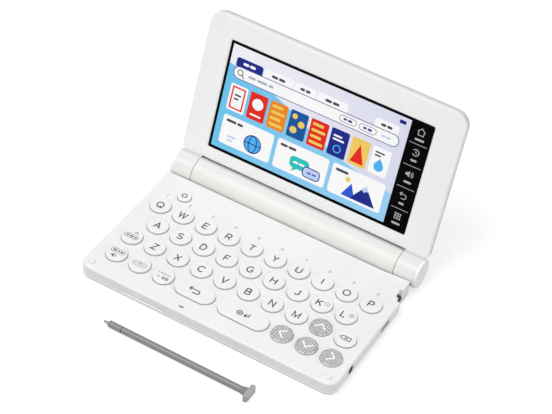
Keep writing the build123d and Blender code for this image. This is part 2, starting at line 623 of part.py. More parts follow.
def cover_sector(r0, r1, half_length, top_deg):
    """Ring sector under and behind the axis, from straight down up to an angle."""
    ring = rod(HINGE_Y, HINGE_Z, r1, -half_length, half_length)
    ring -= rod(HINGE_Y, HINGE_Z, r0, -half_length - OVER, half_length + OVER)
    reach = 2 * r1
    top = math.radians(top_deg)
    corners = ((0, 0), (0, -reach), (reach, -reach), (reach * math.cos(top), reach * math.sin(top)))
    wedge = Plane.YZ * make_face(Polyline(*corners, close=True))
    keep = Pos(-half_length - OVER, HINGE_Y, HINGE_Z) * extrude(wedge, 2 * (half_length + OVER))
    return ring & keep


def hinge_barrel():
    """Fixed barrel with bulkheads, the cell bay and two tabs into the base."""
    body = barrel_section()
    for x, _ in TAB_PLACES:
        body += block(x - TAB_W / 2, x + TAB_W / 2, REAR_Y - TAB_L, REAR_Y + OVER,
                      PARTING_Z + TAB_GAP, DECK_Z - SADDLE_DROP)
    body -= rod(HINGE_Y, HINGE_Z, BARREL_BORE_R, -BAY_HALF, BAY_HALF)
    body -= block(-BAY_HALF, BAY_HALF, HINGE_Y - BARREL_BORE_R, HINGE_Y, HINGE_Z - BARREL_R - OVER, HINGE_Z)
    body -= cover_sector(BARREL_BORE_R - OVER, BARREL_R + OVER, BAY_HALF, COVER_TOP_DEG + COVER_GAP_DEG)
    for side in (-1, 1):
        x0, x1 = sorted((side * (BAY_HALF + SHAFT_SHORT), side * (BARREL_HALF + OVER)))
        body -= rod(HINGE_Y, HINGE_Z, SHAFT_R, x0, x1)
    for x, y in TAB_PLACES:
        body -= post(x, y, SCREW_R, PARTING_Z, DECK_Z)
    return body


def battery_cover():
    """J-shaped door: flat under the cells, curved up behind them, with grip ribs."""
    half = BAY_HALF - COVER_GAP
    door = cover_sector(BARREL_BORE_R, BARREL_R, half, COVER_TOP_DEG)
    door += block(-half, half, HINGE_Y - BARREL_BORE_R + COVER_GAP, HINGE_Y + BARREL_WALL / 2,
                  HINGE_Z - BARREL_R, HINGE_Z - BARREL_BORE_R)
    for index in range(GRIP_RIBS):
        angle = math.radians(GRIP_TOP_DEG - GRIP_STEP_DEG * index)
        y = HINGE_Y + BARREL_R * math.cos(angle)
        z = HINGE_Z + BARREL_R * math.sin(angle)
        door += rod(y, z, GRIP_RIB_R, -GRIP_RIB_L / 2, GRIP_RIB_L / 2)
    return door


def battery_cells():
    """Two cells in a row."""
    cells = []
    start = -BAY_HALF + SPRING_ROOM
    for index in range(2):
        x0 = start + index * (CELL_L + CELL_NUB_L)
        can = rod(HINGE_Y, HINGE_Z, CELL_R, x0, x0 + CELL_L)
        can = fillet(can.edges().filter_by(GeomType.CIRCLE), CELL_EDGE_R)
        cells.append(can + rod(HINGE_Y, HINGE_Z, CELL_NUB_R, x0 + CELL_L / 2, x0 + CELL_L + CELL_NUB_L))
    return Compound(children=cells)


def battery_contacts():
    """Leaf spring at the left bulkhead, plate with a pad at the right one."""
    x0, x1 = -BAY_HALF, -BAY_HALF + SPRING_ROOM
    half, tip = CONTACT_W / 2, CELL_NUB_R / 2
    low_y, high_y = HINGE_Y - half, HINGE_Y + half
    low_z, high_z = HINGE_Z - half, HINGE_Z + half
    corners = ((x0, -half), (x1 - CONTACT_T, tip), (x1, tip), (x1, -tip), (x0 + CONTACT_T, -half))
    arm = Polyline(*corners, close=True)
    leaf = Pos(0, HINGE_Y, HINGE_Z - half / 2) * extrude(make_face(arm), half)
    spring = block(x0, x0 + CONTACT_T, low_y, high_y, low_z, high_z) + leaf
    pad = rod(HINGE_Y, HINGE_Z, CELL_NUB_R, BAY_HALF - PLATE_ROOM, BAY_HALF)
    flat = block(BAY_HALF - CONTACT_T, BAY_HALF, low_y, high_y, low_z, high_z) + pad
    return Compound(children=[spring, flat])


def hinge_shafts():
    """One steel shaft at each end of the barrel."""
    right = rod(HINGE_Y, HINGE_Z, SHAFT_R, BAY_HALF + SHAFT_SHORT, SHAFT_END)
    return Compound(children=[right, right.mirror(Plane.YZ)])


# ---------------------------------------------------------------- lid, in its own frame
def lid_blank(inset, n0, n1):
    """Lid plan with round upper corners; Y is along the lid, Z out of the face."""
    half = HALF_W - inset
    tail = 2 * LID_CORNER_R
    return plate(-half, half, -tail, LID_LENGTH - inset, LID_CORNER_R - inset, n0, n1)


def lid_rod(radius, x0, x1):
    """Cylinder on the hinge axis, in the lid's own frame."""
    return rod(0, 0, radius, x0, x1)


def window_box(grow, n0, n1):
    """Block the size of the screen window, grown on each side."""
    return plate(-HALF_W + WINDOW_LEFT - grow, HALF_W - WINDOW_RIGHT + grow, WINDOW_FOOT - grow,
                 LID_LENGTH - WINDOW_TOP + grow, WINDOW_R, n0, n1)


def lid_front_frame():
    """Face of the lid with its window, and the two end segments of the barrel."""
    face = lid_blank(0, FRAME_N, FACE_N)
    face = fillet(face.edges().group_by(Axis.Z)[-1], LID_FACE_R)
    below = block(-HALF_W - OVER, HALF_W + OVER, -3 * LID_CORNER_R, LID_FOOT, FRAME_N - OVER, FACE_N + OVER)
    face -= below
    inner = lid_blank(LID_WALL, FRAME_N - OVER, FACE_N - LIP_T - GLASS_T)
    inner -= block(-HALF_W, HALF_W, -3 * LID_CORNER_R, LID_FOOT + LID_WALL, BACK_N, FACE_N + OVER)
    face -= inner
    face -= window_box(0, FACE_N - LIP_T - OVER, FACE_N + OVER)
    face -= window_box(GLASS_LAP + GLASS_GAP, FRAME_N - OVER, FACE_N - LIP_T)
    bevel = window_box(WINDOW_BEVEL, FACE_N - WINDOW_BEVEL, FACE_N)
    face -= chamfer(bevel.edges().group_by(Axis.Z)[0], WINDOW_BEVEL * 0.98)
    side_edge = SEGMENT_OUT + 0.1
    for side in (-1, 1):
        x0, x1 = sorted((side * side_edge, side * (HALF_W + OVER)))
        face -= block(x0, x1, -3 * LID_CORNER_R, LID_SIDE_FOOT, FRAME_N - OVER, FACE_N + OVER)
        x0, x1 = sorted((side * SEGMENT_IN, side * SEGMENT_OUT))
        face += block(x0, x1, 0, LID_FOOT + LID_WALL, FRAME_N, FACE_N)
        face += lid_rod(BARREL_R, x0, x1)
        x0, x1 = sorted((side * (SEGMENT_IN - OVER), side * BORE_END))
        face -= lid_rod(SHAFT_R + SHAFT_FIT, x0, x1)
        x0, x1 = sorted((side * BORE_END, side * (SEGMENT_OUT + OVER)))
        face -= lid_rod(CAP_PLUG_R, x0, x1)
    face -= lid_rod(BARREL_R + LID_SWEEP_GAP, -SEGMENT_IN, SEGMENT_IN)
    return on_hinge(face)


def heel_space():
    """Room that the battery door's top edge needs under the lid when it is fully open."""
    door_top = BARREL_R * math.sin(math.radians(-COVER_TOP_DEG)) - LID_SWEEP_GAP
    reach = LID_LENGTH / 2
    below = block(-HALF_W - OVER, HALF_W + OVER, 0, reach, -reach, -door_top)
    return Rot(LID_OPEN_MAX - 180.0, 0, 0) * below


def lid_back_cover():
    """Rear shell of the lid, hollowed around the barrel it turns on."""
    shell = lid_blank(0, BACK_N, FRAME_N)
    shell = fillet(shell.edges().group_by(Axis.Z)[0], LID_BACK_R)
    inner = lid_blank(LID_WALL, BACK_N + LID_BACK_T, FRAME_N + OVER)
    inner -= block(-HALF_W, HALF_W, -3 * LID_CORNER_R, LID_FOOT + LID_WALL, BACK_N, FRAME_N + 2 * OVER)
    shell -= inner
    shell -= block(-HALF_W - OVER, HALF_W + OVER, -3 * LID_CORNER_R, 0, BACK_N - OVER, FRAME_N + OVER)
    shell -= lid_rod(BARREL_R + LID_SWEEP_GAP, -HALF_W - OVER, HALF_W + OVER)
    for side in (-1, 1):
        x0, x1 = sorted((side * (SEGMENT_OUT - OVER), side * (HALF_W + OVER)))
        shell -= block(x0, x1, -3 * LID_CORNER_R, LID_SIDE_FOOT, BACK_N - OVER, FRAME_N + OVER)
    groove = lid_blank(0, FRAME_N - LID_GROOVE, FRAME_N)
    groove -= lid_blank(LID_GROOVE, FRAME_N - LID_GROOVE, FRAME_N)
    return on_hinge(shell - groove - heel_space())


def touch_glass():
    """Touch glass behind the frame's lip."""
    return on_hinge(window_box(GLASS_LAP, FACE_N - LIP_T - GLASS_T, FACE_N - LIP_T))


def lcd_module():
    """Display module against the back of the glass."""
    front = FACE_N - LIP_T - GLASS_T
    x0 = -HALF_W + WINDOW_LEFT + LCD_LEFT - LCD_RIM
    x1 = HALF_W - WINDOW_RIGHT - LCD_RIGHT + LCD_RIM
    y0 = WINDOW_FOOT + LCD_BELOW - LCD_RIM
    y1 = LID_LENGTH - WINDOW_TOP - LCD_ABOVE + LCD_RIM
    return on_hinge(block(x0, x1, y0, y1, front - LCD_T, front))


def hinge_end_caps():
    """Flat caps that close the barrel's ends and turn with the lid."""
    cap = lid_rod(BARREL_R - CAP_STEP, SEGMENT_OUT, HALF_W)
    rim = cap.edges().filter_by(GeomType.CIRCLE).sort_by(Axis.X)[-1]
    cap = fillet(rim, CAP_EDGE_R) + lid_rod(CAP_PLUG_R, SEGMENT_OUT - CAP_PLUG_L, SEGMENT_OUT + CAP_T / 2)
    return on_hinge(Compound(children=[cap, cap.mirror(Plane.YZ)]))


# ---------------------------------------------------------------- stylus
def stylus_body():
    """Round shaft with a grooved collar and a cross head, lying on the table."""
    x1 = STYLUS_MID_X + STYLUS_L / 2
    x0 = x1 - STYLUS_L + NIB_L
    shaft = rod(STYLUS_Y, STYLUS_R, STYLUS_R, x0, x1 - HEAD_T / 2)
    front_rim = shaft.edges().filter_by(GeomType.CIRCLE).sort_by(Axis.X)[0]
    shaft = chamfer(front_rim, STYLUS_R / 5)
    groove_x = x0 + COLLAR_L
    ring = rod(STYLUS_Y, STYLUS_R, STYLUS_R + OVER, groove_x, groove_x + GROOVE_W)
    ring -= rod(STYLUS_Y, STYLUS_R, STYLUS_R - GROOVE_D, groove_x - OVER, groove_x + GROOVE_W + OVER)
    shaft -= ring
    shaft -= rod(STYLUS_Y, STYLUS_R, NIB_R, x0 - OVER, x0 + NIB_L)
    head = plate(x1 - HEAD_T, x1, STYLUS_Y - HEAD_L / 2, STYLUS_Y + HEAD_L / 2, HEAD_EDGE_R, 0, 2 * STYLUS_R)
    flare = Pos(x1 - HEAD_T - HEAD_FLARE_L / 2, STYLUS_Y, STYLUS_R) * Rot(0, 90, 0) * Cone(
        STYLUS_R, HEAD_FLARE_R, HEAD_FLARE_L)
    slab = block(x1 - HEAD_T - HEAD_FLARE_L, x1, STYLUS_Y - HEAD_L, STYLUS_Y + HEAD_L, 0, 2 * STYLUS_R)
    return shaft + head + (flare & slab)


def stylus_nib():
    """Soft tip with its stem seated in the shaft."""
    tip_x = STYLUS_MID_X - STYLUS_L / 2
    x0 = tip_x + NIB_L
    cone = Pos(tip_x + NIB_L / 2, STYLUS_Y, STYLUS_R) * Rot(0, 90, 0) * Cone(NIB_TIP_R, NIB_R, NIB_L)
    return cone + rod(STYLUS_Y, STYLUS_R, NIB_R, x0 - NIB_SEAT, x0 + NIB_L)


# ---------------------------------------------------------------- files
def write(name, shape):
    """Write one sub-part."""
    export_step(shape, f"parts/{name}.step")


def main():
    """Build and write every sub-part."""
    os.makedirs("parts", exist_ok=True)
    for maker in (base_top_case, base_bottom_case, rubber_feet, case_screws, main_board, key_dome_sheet,
                  earphone_jack, side_socket, speaker, stylus_tube, hinge_barrel, battery_cover,
                  battery_cells, battery_contacts, hinge_shafts, lid_front_frame, lid_back_cover,
                  touch_glass, lcd_module, hinge_end_caps, stylus_body, stylus_nib):
        write(maker.__name__, maker())
    for name, x, y in ROUND_KEYS[:-1]:
        write(f"key_{name}", key_cap(x, x, y, KEY_R))
    for name, x0, x1 in WIDE_KEYS:
        write(f"key_{name}", key_cap(x0, x1, ROW4_Y, KEY_R))
    write("key_right", jack_key())
    write("key_power", key_cap(POWER_X, POWER_X, POWER_Y, POWER_KEY_R))


main()
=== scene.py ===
"""Electronic dictionary: finishes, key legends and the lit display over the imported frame."""

import logging
import math
from collections.abc import Iterator
from contextlib import contextmanager
from dataclasses import dataclass, field
from enum import Enum

import bmesh
import bpy
from mathutils import Matrix, Vector

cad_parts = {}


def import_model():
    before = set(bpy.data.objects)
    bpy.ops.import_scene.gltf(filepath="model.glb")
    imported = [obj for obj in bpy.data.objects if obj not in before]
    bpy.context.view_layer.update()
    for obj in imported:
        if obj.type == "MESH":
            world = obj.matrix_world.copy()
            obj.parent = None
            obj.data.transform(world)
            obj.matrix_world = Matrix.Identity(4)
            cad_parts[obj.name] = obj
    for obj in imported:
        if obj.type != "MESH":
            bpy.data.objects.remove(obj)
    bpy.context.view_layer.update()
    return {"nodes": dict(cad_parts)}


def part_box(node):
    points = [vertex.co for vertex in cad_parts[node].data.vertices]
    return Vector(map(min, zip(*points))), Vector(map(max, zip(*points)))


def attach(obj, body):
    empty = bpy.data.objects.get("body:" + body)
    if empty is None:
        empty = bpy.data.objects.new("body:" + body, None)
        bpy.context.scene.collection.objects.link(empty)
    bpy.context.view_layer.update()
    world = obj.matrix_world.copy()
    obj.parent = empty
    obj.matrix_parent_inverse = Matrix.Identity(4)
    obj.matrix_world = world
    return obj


log = logging.getLogger("dictionary")

MM = 0.001
Point = tuple[float, float]
Rgba = tuple[float, float, float, float]

# Lid's own frame: X to the right, S along the lid from the hinge, N out of the screen.
HINGE_Y = 43.186
HINGE_Z = 9.1
LID_TURN_DEG = 73.9
GLASS_N = -1.9
DECK_Z = 8.4

BLACK = (0.0, 0.0, 0.0, 1.0)
WHITE = (1.0, 1.0, 1.0, 1.0)
NOISE_BAND = (0.3, 0.7)  # range that a noise texture mostly keeps to
ROUGH_DRIFT = 0.06  # how far wear moves the roughness either way
GAP_SHUT = 0.08  # open share of the sky at which the painted shade is at its darkest
BUMP = 0.6  # strength of the grain
DOT_EDGE = (0.34, 0.46)  # soft edge of a printed dot, in pitches from its middle
RIM_SHADE_FACING = (0.2, 0.7)  # how far a face turns outwards along the lid until it takes the rim's painted shade
CHORD_DEG = 18  # angle of one chord of a curved stroke
ROUND_CHORDS = 40  # chords of a whole ring
MITRE_LIMIT = 0.35  # sharpest bend that a stroke's corner follows


def linear(colour: str) -> Rgba:
    """Turn a hex colour as seen into the linear values that shaders take.

    Args:
        colour: Six hex digits, red first.

    Returns:
        Linear red, green, blue and full alpha.
    """
    parts = [int(colour[i:i + 2], 16) / 255 for i in (0, 2, 4)]
    red, green, blue = (c / 12.92 if c <= 0.04045 else ((c + 0.055) / 1.055) ** 2.4 for c in parts)
    return red, green, blue, 1.0


def lid_matrix(n: float) -> Matrix:
    """Matrix from (x, s, height) in metres to the row frame, for a plane n mm out of the screen."""
    turn = Matrix.Rotation(math.radians(LID_TURN_DEG), 4, "X")
    return Matrix.Translation((0, HINGE_Y * MM, HINGE_Z * MM)) @ turn @ Matrix.Translation((0, 0, n * MM))


def show(name: str, data: bpy.types.ID) -> bpy.types.Object:
    """Put a mesh, lamp or camera into the scene.

    Args:
        name: The object's name.
        data: What it shows.

    Returns:
        The object.
    """
    made = bpy.data.objects.new(name, data)
    bpy.context.scene.collection.objects.link(made)
    return made


# ---- finishes
class Nodes:
    """Short calls that fill one material's node tree."""

    def __init__(self, name: str) -> None:
        """Start an empty material.

        Args:
            name: The material's name.
        """
        self.material = bpy.data.materials.new(name)
        self.material.use_nodes = True
        self.tree = self.material.node_tree
        self.tree.nodes.clear()

    def add(self, kind: str, values: dict | None = None, **settings: object) -> bpy.types.Node:
        """Add a node.

        Args:
            kind: Node type without its ShaderNode prefix.
            values: Socket values or links by the socket's name or number.
            **settings: Properties of the node itself.

        Returns:
            The new node.
        """
        node = self.tree.nodes.new("ShaderNode" + kind)
        for key, value in settings.items():
            setattr(node, key, value)
        for key, value in (values or {}).items():
            if isinstance(value, bpy.types.NodeSocket):
                self.tree.links.new(value, node.inputs[key])
            else:
                node.inputs[key].default_value = value
        return node

    def mix(self, share: object, low: object, high: object, blend: str = "MIX") -> bpy.types.NodeSocket:
        """Mix two colours, each a value or a socket, by a share of the second one."""
        values = {0: share, 6: low, 7: high}
        return self.add("Mix", values, data_type="RGBA", blend_type=blend).outputs[2]

    def spread(self, value: bpy.types.NodeSocket, low: float, high: float,
               source: Point = (0.0, 1.0)) -> bpy.types.NodeSocket:
        """Map a value from the source range to low up to high, without going past its ends."""
        return self.add("MapRange", {0: value, 1: source[0], 2: source[1], 3: low, 4: high}).outputs[0]

    def step(self, value: bpy.types.NodeSocket, at_mm: float, half_mm: float, low: float = 0.0,
             high: float = 1.0) -> bpy.types.NodeSocket:
        """Soft step from low to high, half_mm to either side of a height or distance in mm."""
        return self.spread(value, low, high, ((at_mm - half_mm) * MM, (at_mm + half_mm) * MM))

    def vector(self, operation: str, *values: object) -> bpy.types.NodeSocket:
        """Result of a vector operation, which is a number for a dot product or a length."""
        node = self.add("VectorMath", dict(enumerate(values)), operation=operation)
        return node.outputs["Value" if operation in ("DOT_PRODUCT", "LENGTH") else "Vector"]

    def close(self, shader: bpy.types.Node) -> None:
        """Join a shader to the material's output."""
        self.tree.links.new(shader.outputs[0], self.add("OutputMaterial").inputs[0])


MADE: dict["Finish", bpy.types.Material] = {}


@dataclass(frozen=True)
class Finish:
    """A moulded, printed or metal surface with its own grain, and painted shade in its gaps where that is
    set.

    Attributes:
        name: The material's name.
        colour: Hex colour as seen.
        roughness: Middle of the roughness.
        grain_mm: Size of the surface grain.
        grain_depth_mm: Height of that grain.
        mottle: How far the colour drifts over the piece.
        mottle_mm: Size of that drift.
        specular: Specular level.
        metallic: One for metals.
        coat: Weight of a clear coat.
        stretch: Scale of the grain along X, Y and Z.
        glow: Share of the colour that the surface sends out itself.
        cells_mm: Pitch of a picture cell grid, or zero for none.
        painted_shade: How much darker painted shade, from ambient occlusion, makes the bottom of narrow gaps
            and places near other parts.
        painted_shade_mm: Reach of the walls that make a gap.
        painted_shade_open: Open share of the sky at which the painted shade ends.
    """

    name: str
    colour: str
    roughness: float = 0.42
    grain_mm: float = 0.30
    grain_depth_mm: float = 0.004
    mottle: float = 0.025
    mottle_mm: float = 14.0
    specular: float = 0.5
    metallic: float = 0.0
    coat: float = 0.0
    stretch: tuple[float, float, float] = (1.0, 1.0, 1.0)
    glow: float = 0.0
    cells_mm: float = 0.0
    painted_shade: float = 0.0
    painted_shade_mm: float = 1.0
    painted_shade_open: float = 0.5

    def tint(self, nodes: Nodes, place: bpy.types.NodeSocket) -> bpy.types.NodeSocket:
        """Base colour with its slow drift.

        Args:
            nodes: Tree to fill.
            place: Position on the piece.

        Returns:
            The colour's socket.
        """
        base = linear(self.colour)
        dark = tuple(c * (1 - 2 * self.mottle) for c in base[:3]) + (1.0,)
        light = tuple(min(1.0, c * (1 + self.mottle)) for c in base[:3]) + (1.0,)
        drift = nodes.add("TexNoise", {"Vector": place, "Scale": 1 / (self.mottle_mm * MM), "Detail": 3.0})
        return nodes.mix(nodes.spread(drift.outputs[0], 0.0, 1.0, NOISE_BAND), dark, light)

    def cells(self, nodes: Nodes, place: bpy.types.NodeSocket,
              colour: bpy.types.NodeSocket) -> bpy.types.NodeSocket:
        """Darken the lines between picture cells a little."""
        grid = nodes.add("TexBrick", {"Vector": place, "Color1": WHITE, "Color2": WHITE,
                                      "Mortar": (0.9, 0.9, 0.9, 1), "Scale": 1 / (self.cells_mm * MM),
                                      "Mortar Size": 0.06, "Brick Width": 1.0, "Row Height": 1.0},
                         offset=0.0)
        return nodes.mix(1.0, colour, grid.outputs[0], "MULTIPLY")

    def material(self) -> bpy.types.Material:
        """Build the material, or return the one already built for this finish.

        Returns:
            The material.
        """
        if self in MADE:
            return MADE[self]
        nodes = Nodes(self.name)
        MADE[self] = nodes.material
        place = nodes.add("TexCoord").outputs["Object"]
        colour = self.tint(nodes, place)
        if self.cells_mm:
            colour = self.cells(nodes, place, colour)
        # Painted shade: an ambient occlusion node darkens the colour in narrow gaps and near other parts.
        if self.painted_shade:
            open_sky = nodes.add("AmbientOcclusion", {"Distance": self.painted_shade_mm * MM}, samples=8)
            clear = nodes.spread(open_sky.outputs["AO"], 1 - self.painted_shade, 1.0, (GAP_SHUT, self.painted_shade_open))
            colour = nodes.mix(clear, BLACK, colour)
        mapped = nodes.add("Mapping", {"Vector": place, "Scale": self.stretch}).outputs[0]
        grain = nodes.add("TexNoise", {"Vector": mapped, "Scale": 1 / (self.grain_mm * MM), "Detail": 4.0})
        wear = nodes.add("TexNoise", {"Vector": mapped, "Scale": 0.3 / (self.grain_mm * MM), "Detail": 2.0})
        rough = nodes.spread(wear.outputs[0], self.roughness - ROUGH_DRIFT, self.roughness + ROUGH_DRIFT,
                             NOISE_BAND)
        bump = nodes.add("Bump", {"Strength": BUMP, "Distance": self.grain_depth_mm * MM,
                                  "Height": grain.outputs[0]})
        values = {"Base Color": nodes.mix(self.glow, colour, BLACK) if self.glow else colour,
                  "Roughness": rough, "Normal": bump.outputs[0], "Metallic": self.metallic,
                  "Specular IOR Level": self.specular, "Coat Weight": self.coat, "Coat Roughness": 0.12}
        if self.glow:
            values |= {"Emission Color": colour, "Emission Strength": self.glow}
        nodes.close(nodes.add("BsdfPrincipled", values))
        return nodes.material


@dataclass(frozen=True)
class Sweep(Finish):
    """Colour that turns into another one along a line across the piece.

    Attributes:
        far: Hex colour at the far end.
        start: Where the drift starts, in mm in the piece's own X and Y.
        end: Where it ends.
    """

    far: str = "FFFFFF"
    start: Point = (0.0, 0.0)
    end: Point = (1.0, 1.0)

    def tint(self, nodes: Nodes, place: bpy.types.NodeSocket) -> bpy.types.NodeSocket:
        """Colour along the line from start to end.

        Args:
            nodes: Tree to fill.
            place: Position on the piece.

        Returns:
            The colour's socket.
        """
        way = Vector((self.end[0] - self.start[0], self.end[1] - self.start[1], 0)) * MM
        shifted = nodes.vector("SUBTRACT", place, (self.start[0] * MM, self.start[1] * MM, 0))
        share = nodes.spread(nodes.vector("DOT_PRODUCT", shifted, way / way.length_squared), 0.0, 1.0)
        return nodes.mix(share, linear(self.colour), linear(self.far))


@dataclass(frozen=True)
class Collared(Finish):
    """Moulding with one colour round an axis along X and another further out, as a bore in its collar; on the
    lid's face the colour near the axis is painted shade on the hinge segment.

    Attributes:
        bore: Hex colour near the axis.
        axis: Y and Z of the axis, in mm.
        radius: Where the colour changes, in mm.
    """

    bore: str = "080808"
    axis: Point = (0.0, 0.0)
    radius: float = 1.0

    def tint(self, nodes: Nodes, place: bpy.types.NodeSocket) -> bpy.types.NodeSocket:
        """Colour by the distance from the axis.

        Args:
            nodes: Tree to fill.
            place: Position on the piece.

        Returns:
            The colour's socket.
        """
        shifted = nodes.vector("SUBTRACT", place, (0, self.axis[0] * MM, self.axis[1] * MM))
        away = nodes.vector("LENGTH", nodes.vector("MULTIPLY", shifted, (0, 1, 1)))
        share = nodes.step(away, self.radius, 0.08)
        return nodes.mix(share, linear(self.bore), super().tint(nodes, place))


@dataclass(frozen=True)
class RimShadedLid(Collared):
    """Lid moulding whose far edge is painted a little darker than its faces, as painted shade.

    Attributes:
        rim: Hex colour of that edge, a painted shade.
    """

    rim: str = "E9E9E9"

    def tint(self, nodes: Nodes, place: bpy.types.NodeSocket) -> bpy.types.NodeSocket:
        """Colour by the way that the surface faces along the lid, which paints the shade of its rim.

        Args:
            nodes: Tree to fill.
            place: Position on the piece.

        Returns:
            The colour's socket.
        """
        along = Matrix.Rotation(math.radians(LID_TURN_DEG), 3, "X") @ Vector((0, 1, 0))
        normal = nodes.add("TexCoord").outputs["Normal"]
        # Painted shade: faces turned along the lid take the darker rim colour.
        share = nodes.spread(nodes.vector("DOT_PRODUCT", normal, along), 0.0, 1.0, RIM_SHADE_FACING)
        return nodes.mix(share, super().tint(nodes, place), linear(self.rim))


@dataclass(frozen=True)
class ShadedLowerBand(Finish):
    """Moulding with a darker band of painted shade round its lower edge.

    Attributes:
        low: Hex colour of the band, a painted shade.
        sole_mm: Height where the band starts.
        step_mm: Height where it ends.
    """

    low: str = "D0D0D0"
    sole_mm: float = 0.78
    step_mm: float = 1.6

    def tint(self, nodes: Nodes, place: bpy.types.NodeSocket) -> bpy.types.NodeSocket:
        """Colour by height, with the band's painted shade.

        Args:
            nodes: Tree to fill.
            place: Position on the piece.

        Returns:
            The colour's socket.
        """
        height = nodes.add("SeparateXYZ", {0: place}).outputs[2]
        above = nodes.step(height, self.step_mm, 0.15)
        under = nodes.step(height, self.sole_mm, 0.1, 1.0, 0.0)
        plain = nodes.add("Math", {0: above, 1: under}, operation="MAXIMUM").outputs[0]
        return nodes.mix(plain, linear(self.low), super().tint(nodes, place))


@dataclass(frozen=True)
class Screened(Finish):
    """Cap whose top is printed with a fine dot screen, down to a height on its rounded edge.

    Attributes:
        dots: Hex colour of the dots.
        side: Hex colour below the print.
        pitch_mm: Pitch of the dots.
        foot_mm: Lowest height of the print.
    """

    dots: str = "848484"
    side: str = "F5F5F5"
    pitch_mm: float = 1.2
    foot_mm: float = 0.0

    def tint(self, nodes: Nodes, place: bpy.types.NodeSocket) -> bpy.types.NodeSocket:
        """Dots over the print's ground, and the plain side below.

        Args:
            nodes: Tree to fill.
            place: Position on the piece.

        Returns:
            The colour's socket.
        """
        flat = nodes.vector("MULTIPLY", place, (1, 1, 0))
        cells = nodes.add("TexVoronoi", {"Vector": flat, "Scale": 1 / (self.pitch_mm * MM),
                                         "Randomness": 0.0})
        dot = nodes.spread(cells.outputs["Distance"], 1.0, 0.0, DOT_EDGE)
        top = nodes.mix(dot, super().tint(nodes, place), linear(self.dots))
        height = nodes.add("SeparateXYZ", {0: place}).outputs[2]
        share = nodes.step(height, self.foot_mm, 0.04)
        return nodes.mix(share, linear(self.side), top)


def ink(name: str, colour: str, mottle: float = 0.05) -> Finish:
    """A dark or grey ink."""
    return Finish(name, colour, roughness=0.6, mottle=mottle, mottle_mm=1.5, specular=0.2)


MOULDED = {"roughness": 0.38, "grain_mm": 0.35, "grain_depth_mm": 0.003}
# Zone round the hinge axis that takes a lid's bore colour; on the face it is painted shade.
ROUND_HINGE = {"axis": (HINGE_Y, HINGE_Z), "radius": 9.0}
# Painted shade in the gaps round the keys.
KEY_GAP_SHADE = {"painted_shade": 0.95, "painted_shade_mm": 1.6, "painted_shade_open": 1.0}
LIT = {"roughness": 0.3, "grain_depth_mm": 0.0005, "specular": 0.1, "cells_mm": 0.16}
LIT_GLOW = 0.62

# The painted shade settings below darken gaps, and darken the barrel and the lid near the deck.
SHELL = Finish("shell_white", "F5F5F5", mottle=0.012, painted_shade=0.55, **MOULDED)
# Painted light and shade on the lid's face: FAFAFA is brighter than the deck's white to make up for the lid's
# weaker light, and the bore colour paints the hinge segment darker.
FACE = RimShadedLid("lid_white", "FAFAFA", mottle=0.006, painted_shade=0.4, painted_shade_mm=7.0, painted_shade_open=0.8, bore="EEEEEB",
                **MOULDED, **ROUND_HINGE)
BACK = RimShadedLid("lid_back_white", "F3F3F3", mottle=0.012, painted_shade=0.8, painted_shade_open=0.7, bore="F3F3F3",
                **MOULDED, **ROUND_HINGE)
# Painted shade: a darker band round the tray's lower edge.
TRAY = ShadedLowerBand("shell_grey", "FFFFFF", roughness=0.45, mottle=0.006, painted_shade=0.15, low="8C8C8C")
BARREL = Finish("barrel_white", "EDEDE9", roughness=0.44, grain_depth_mm=0.002, mottle=0.012, painted_shade=0.45,
                painted_shade_mm=7.0, painted_shade_open=0.9)
CAP = Finish("cap_grey", "FFFFFF", roughness=0.45, mottle=0.02)
KEYCAP = Finish("key_white", "F5F5F5", roughness=0.36, grain_depth_mm=0.002, mottle=0.008, **KEY_GAP_SHADE)
ARROW = Screened("arrow_key", "EAEAEA", roughness=0.45, mottle=0.03, mottle_mm=1.5, foot_mm=9.4, **KEY_GAP_SHADE)
INK = ink("legend_ink", "57585B", 0.06)
GREY_INK = ink("grey_legend_ink", "7E7F82", 0.06)
PALE_INK = ink("pale_legend_ink", "A9AAAD")
RIM_INK = ink("rim_ink", "B4B4B4")
WHITE_INK = Finish("white_legend_ink", "FFFFFF", roughness=0.5, mottle=0.01)
# Painted shade: the dark sheet that fills the microphone slot.
MESH = Finish("microphone_slot_shade", "39393A", roughness=0.8, grain_mm=0.2, grain_depth_mm=0.02, specular=0.2)
RUBBER = Finish("rubber_grey", "6A6A6B", roughness=0.85, grain_depth_mm=0.02, specular=0.25)
STEEL = Finish("screw_steel", "B4B5B8", roughness=0.34, metallic=1.0, stretch=(1.0, 1.0, 8.0))
BOARD = Finish("board_green", "1C5A38", roughness=0.35, mottle=0.12, mottle_mm=5.0, coat=0.4)
DOMES = Finish("dome_sheet", "D6D6D0", roughness=0.5, mottle=0.06, mottle_mm=3.0)
SOCKET = Finish("socket_metal", "B9BABC", roughness=0.3, metallic=1.0, stretch=(6.0, 1.0, 1.0))
SPEAKER = Finish("speaker_black", "2A2A2B", roughness=0.7, grain_mm=0.5, grain_depth_mm=0.03, mottle=0.12)
# Painted shade: the dark grey of the tube that lines the stylus notch stands for the notch's shadow.
STYLUS_NOTCH_SHADE = Finish("inner_plastic", "6A6A6C", roughness=0.6)
CELL = Finish("cell_jacket", "3F7F74", roughness=0.25, mottle=0.1, mottle_mm=9.0, coat=0.6)
CONTACT = Finish("contact_metal", "CFC9B4", roughness=0.28, metallic=1.0)
SHAFT = Finish("shaft_steel", "AEB0B3", roughness=0.22, metallic=1.0, stretch=(1.0, 12.0, 12.0))
GLASS = Finish("screen_glass", "060607", roughness=0.12, grain_depth_mm=0.0005, specular=0.02, mottle=0.1)
MODULE = Finish("display_module", "7B7C80", roughness=0.4, metallic=0.6)
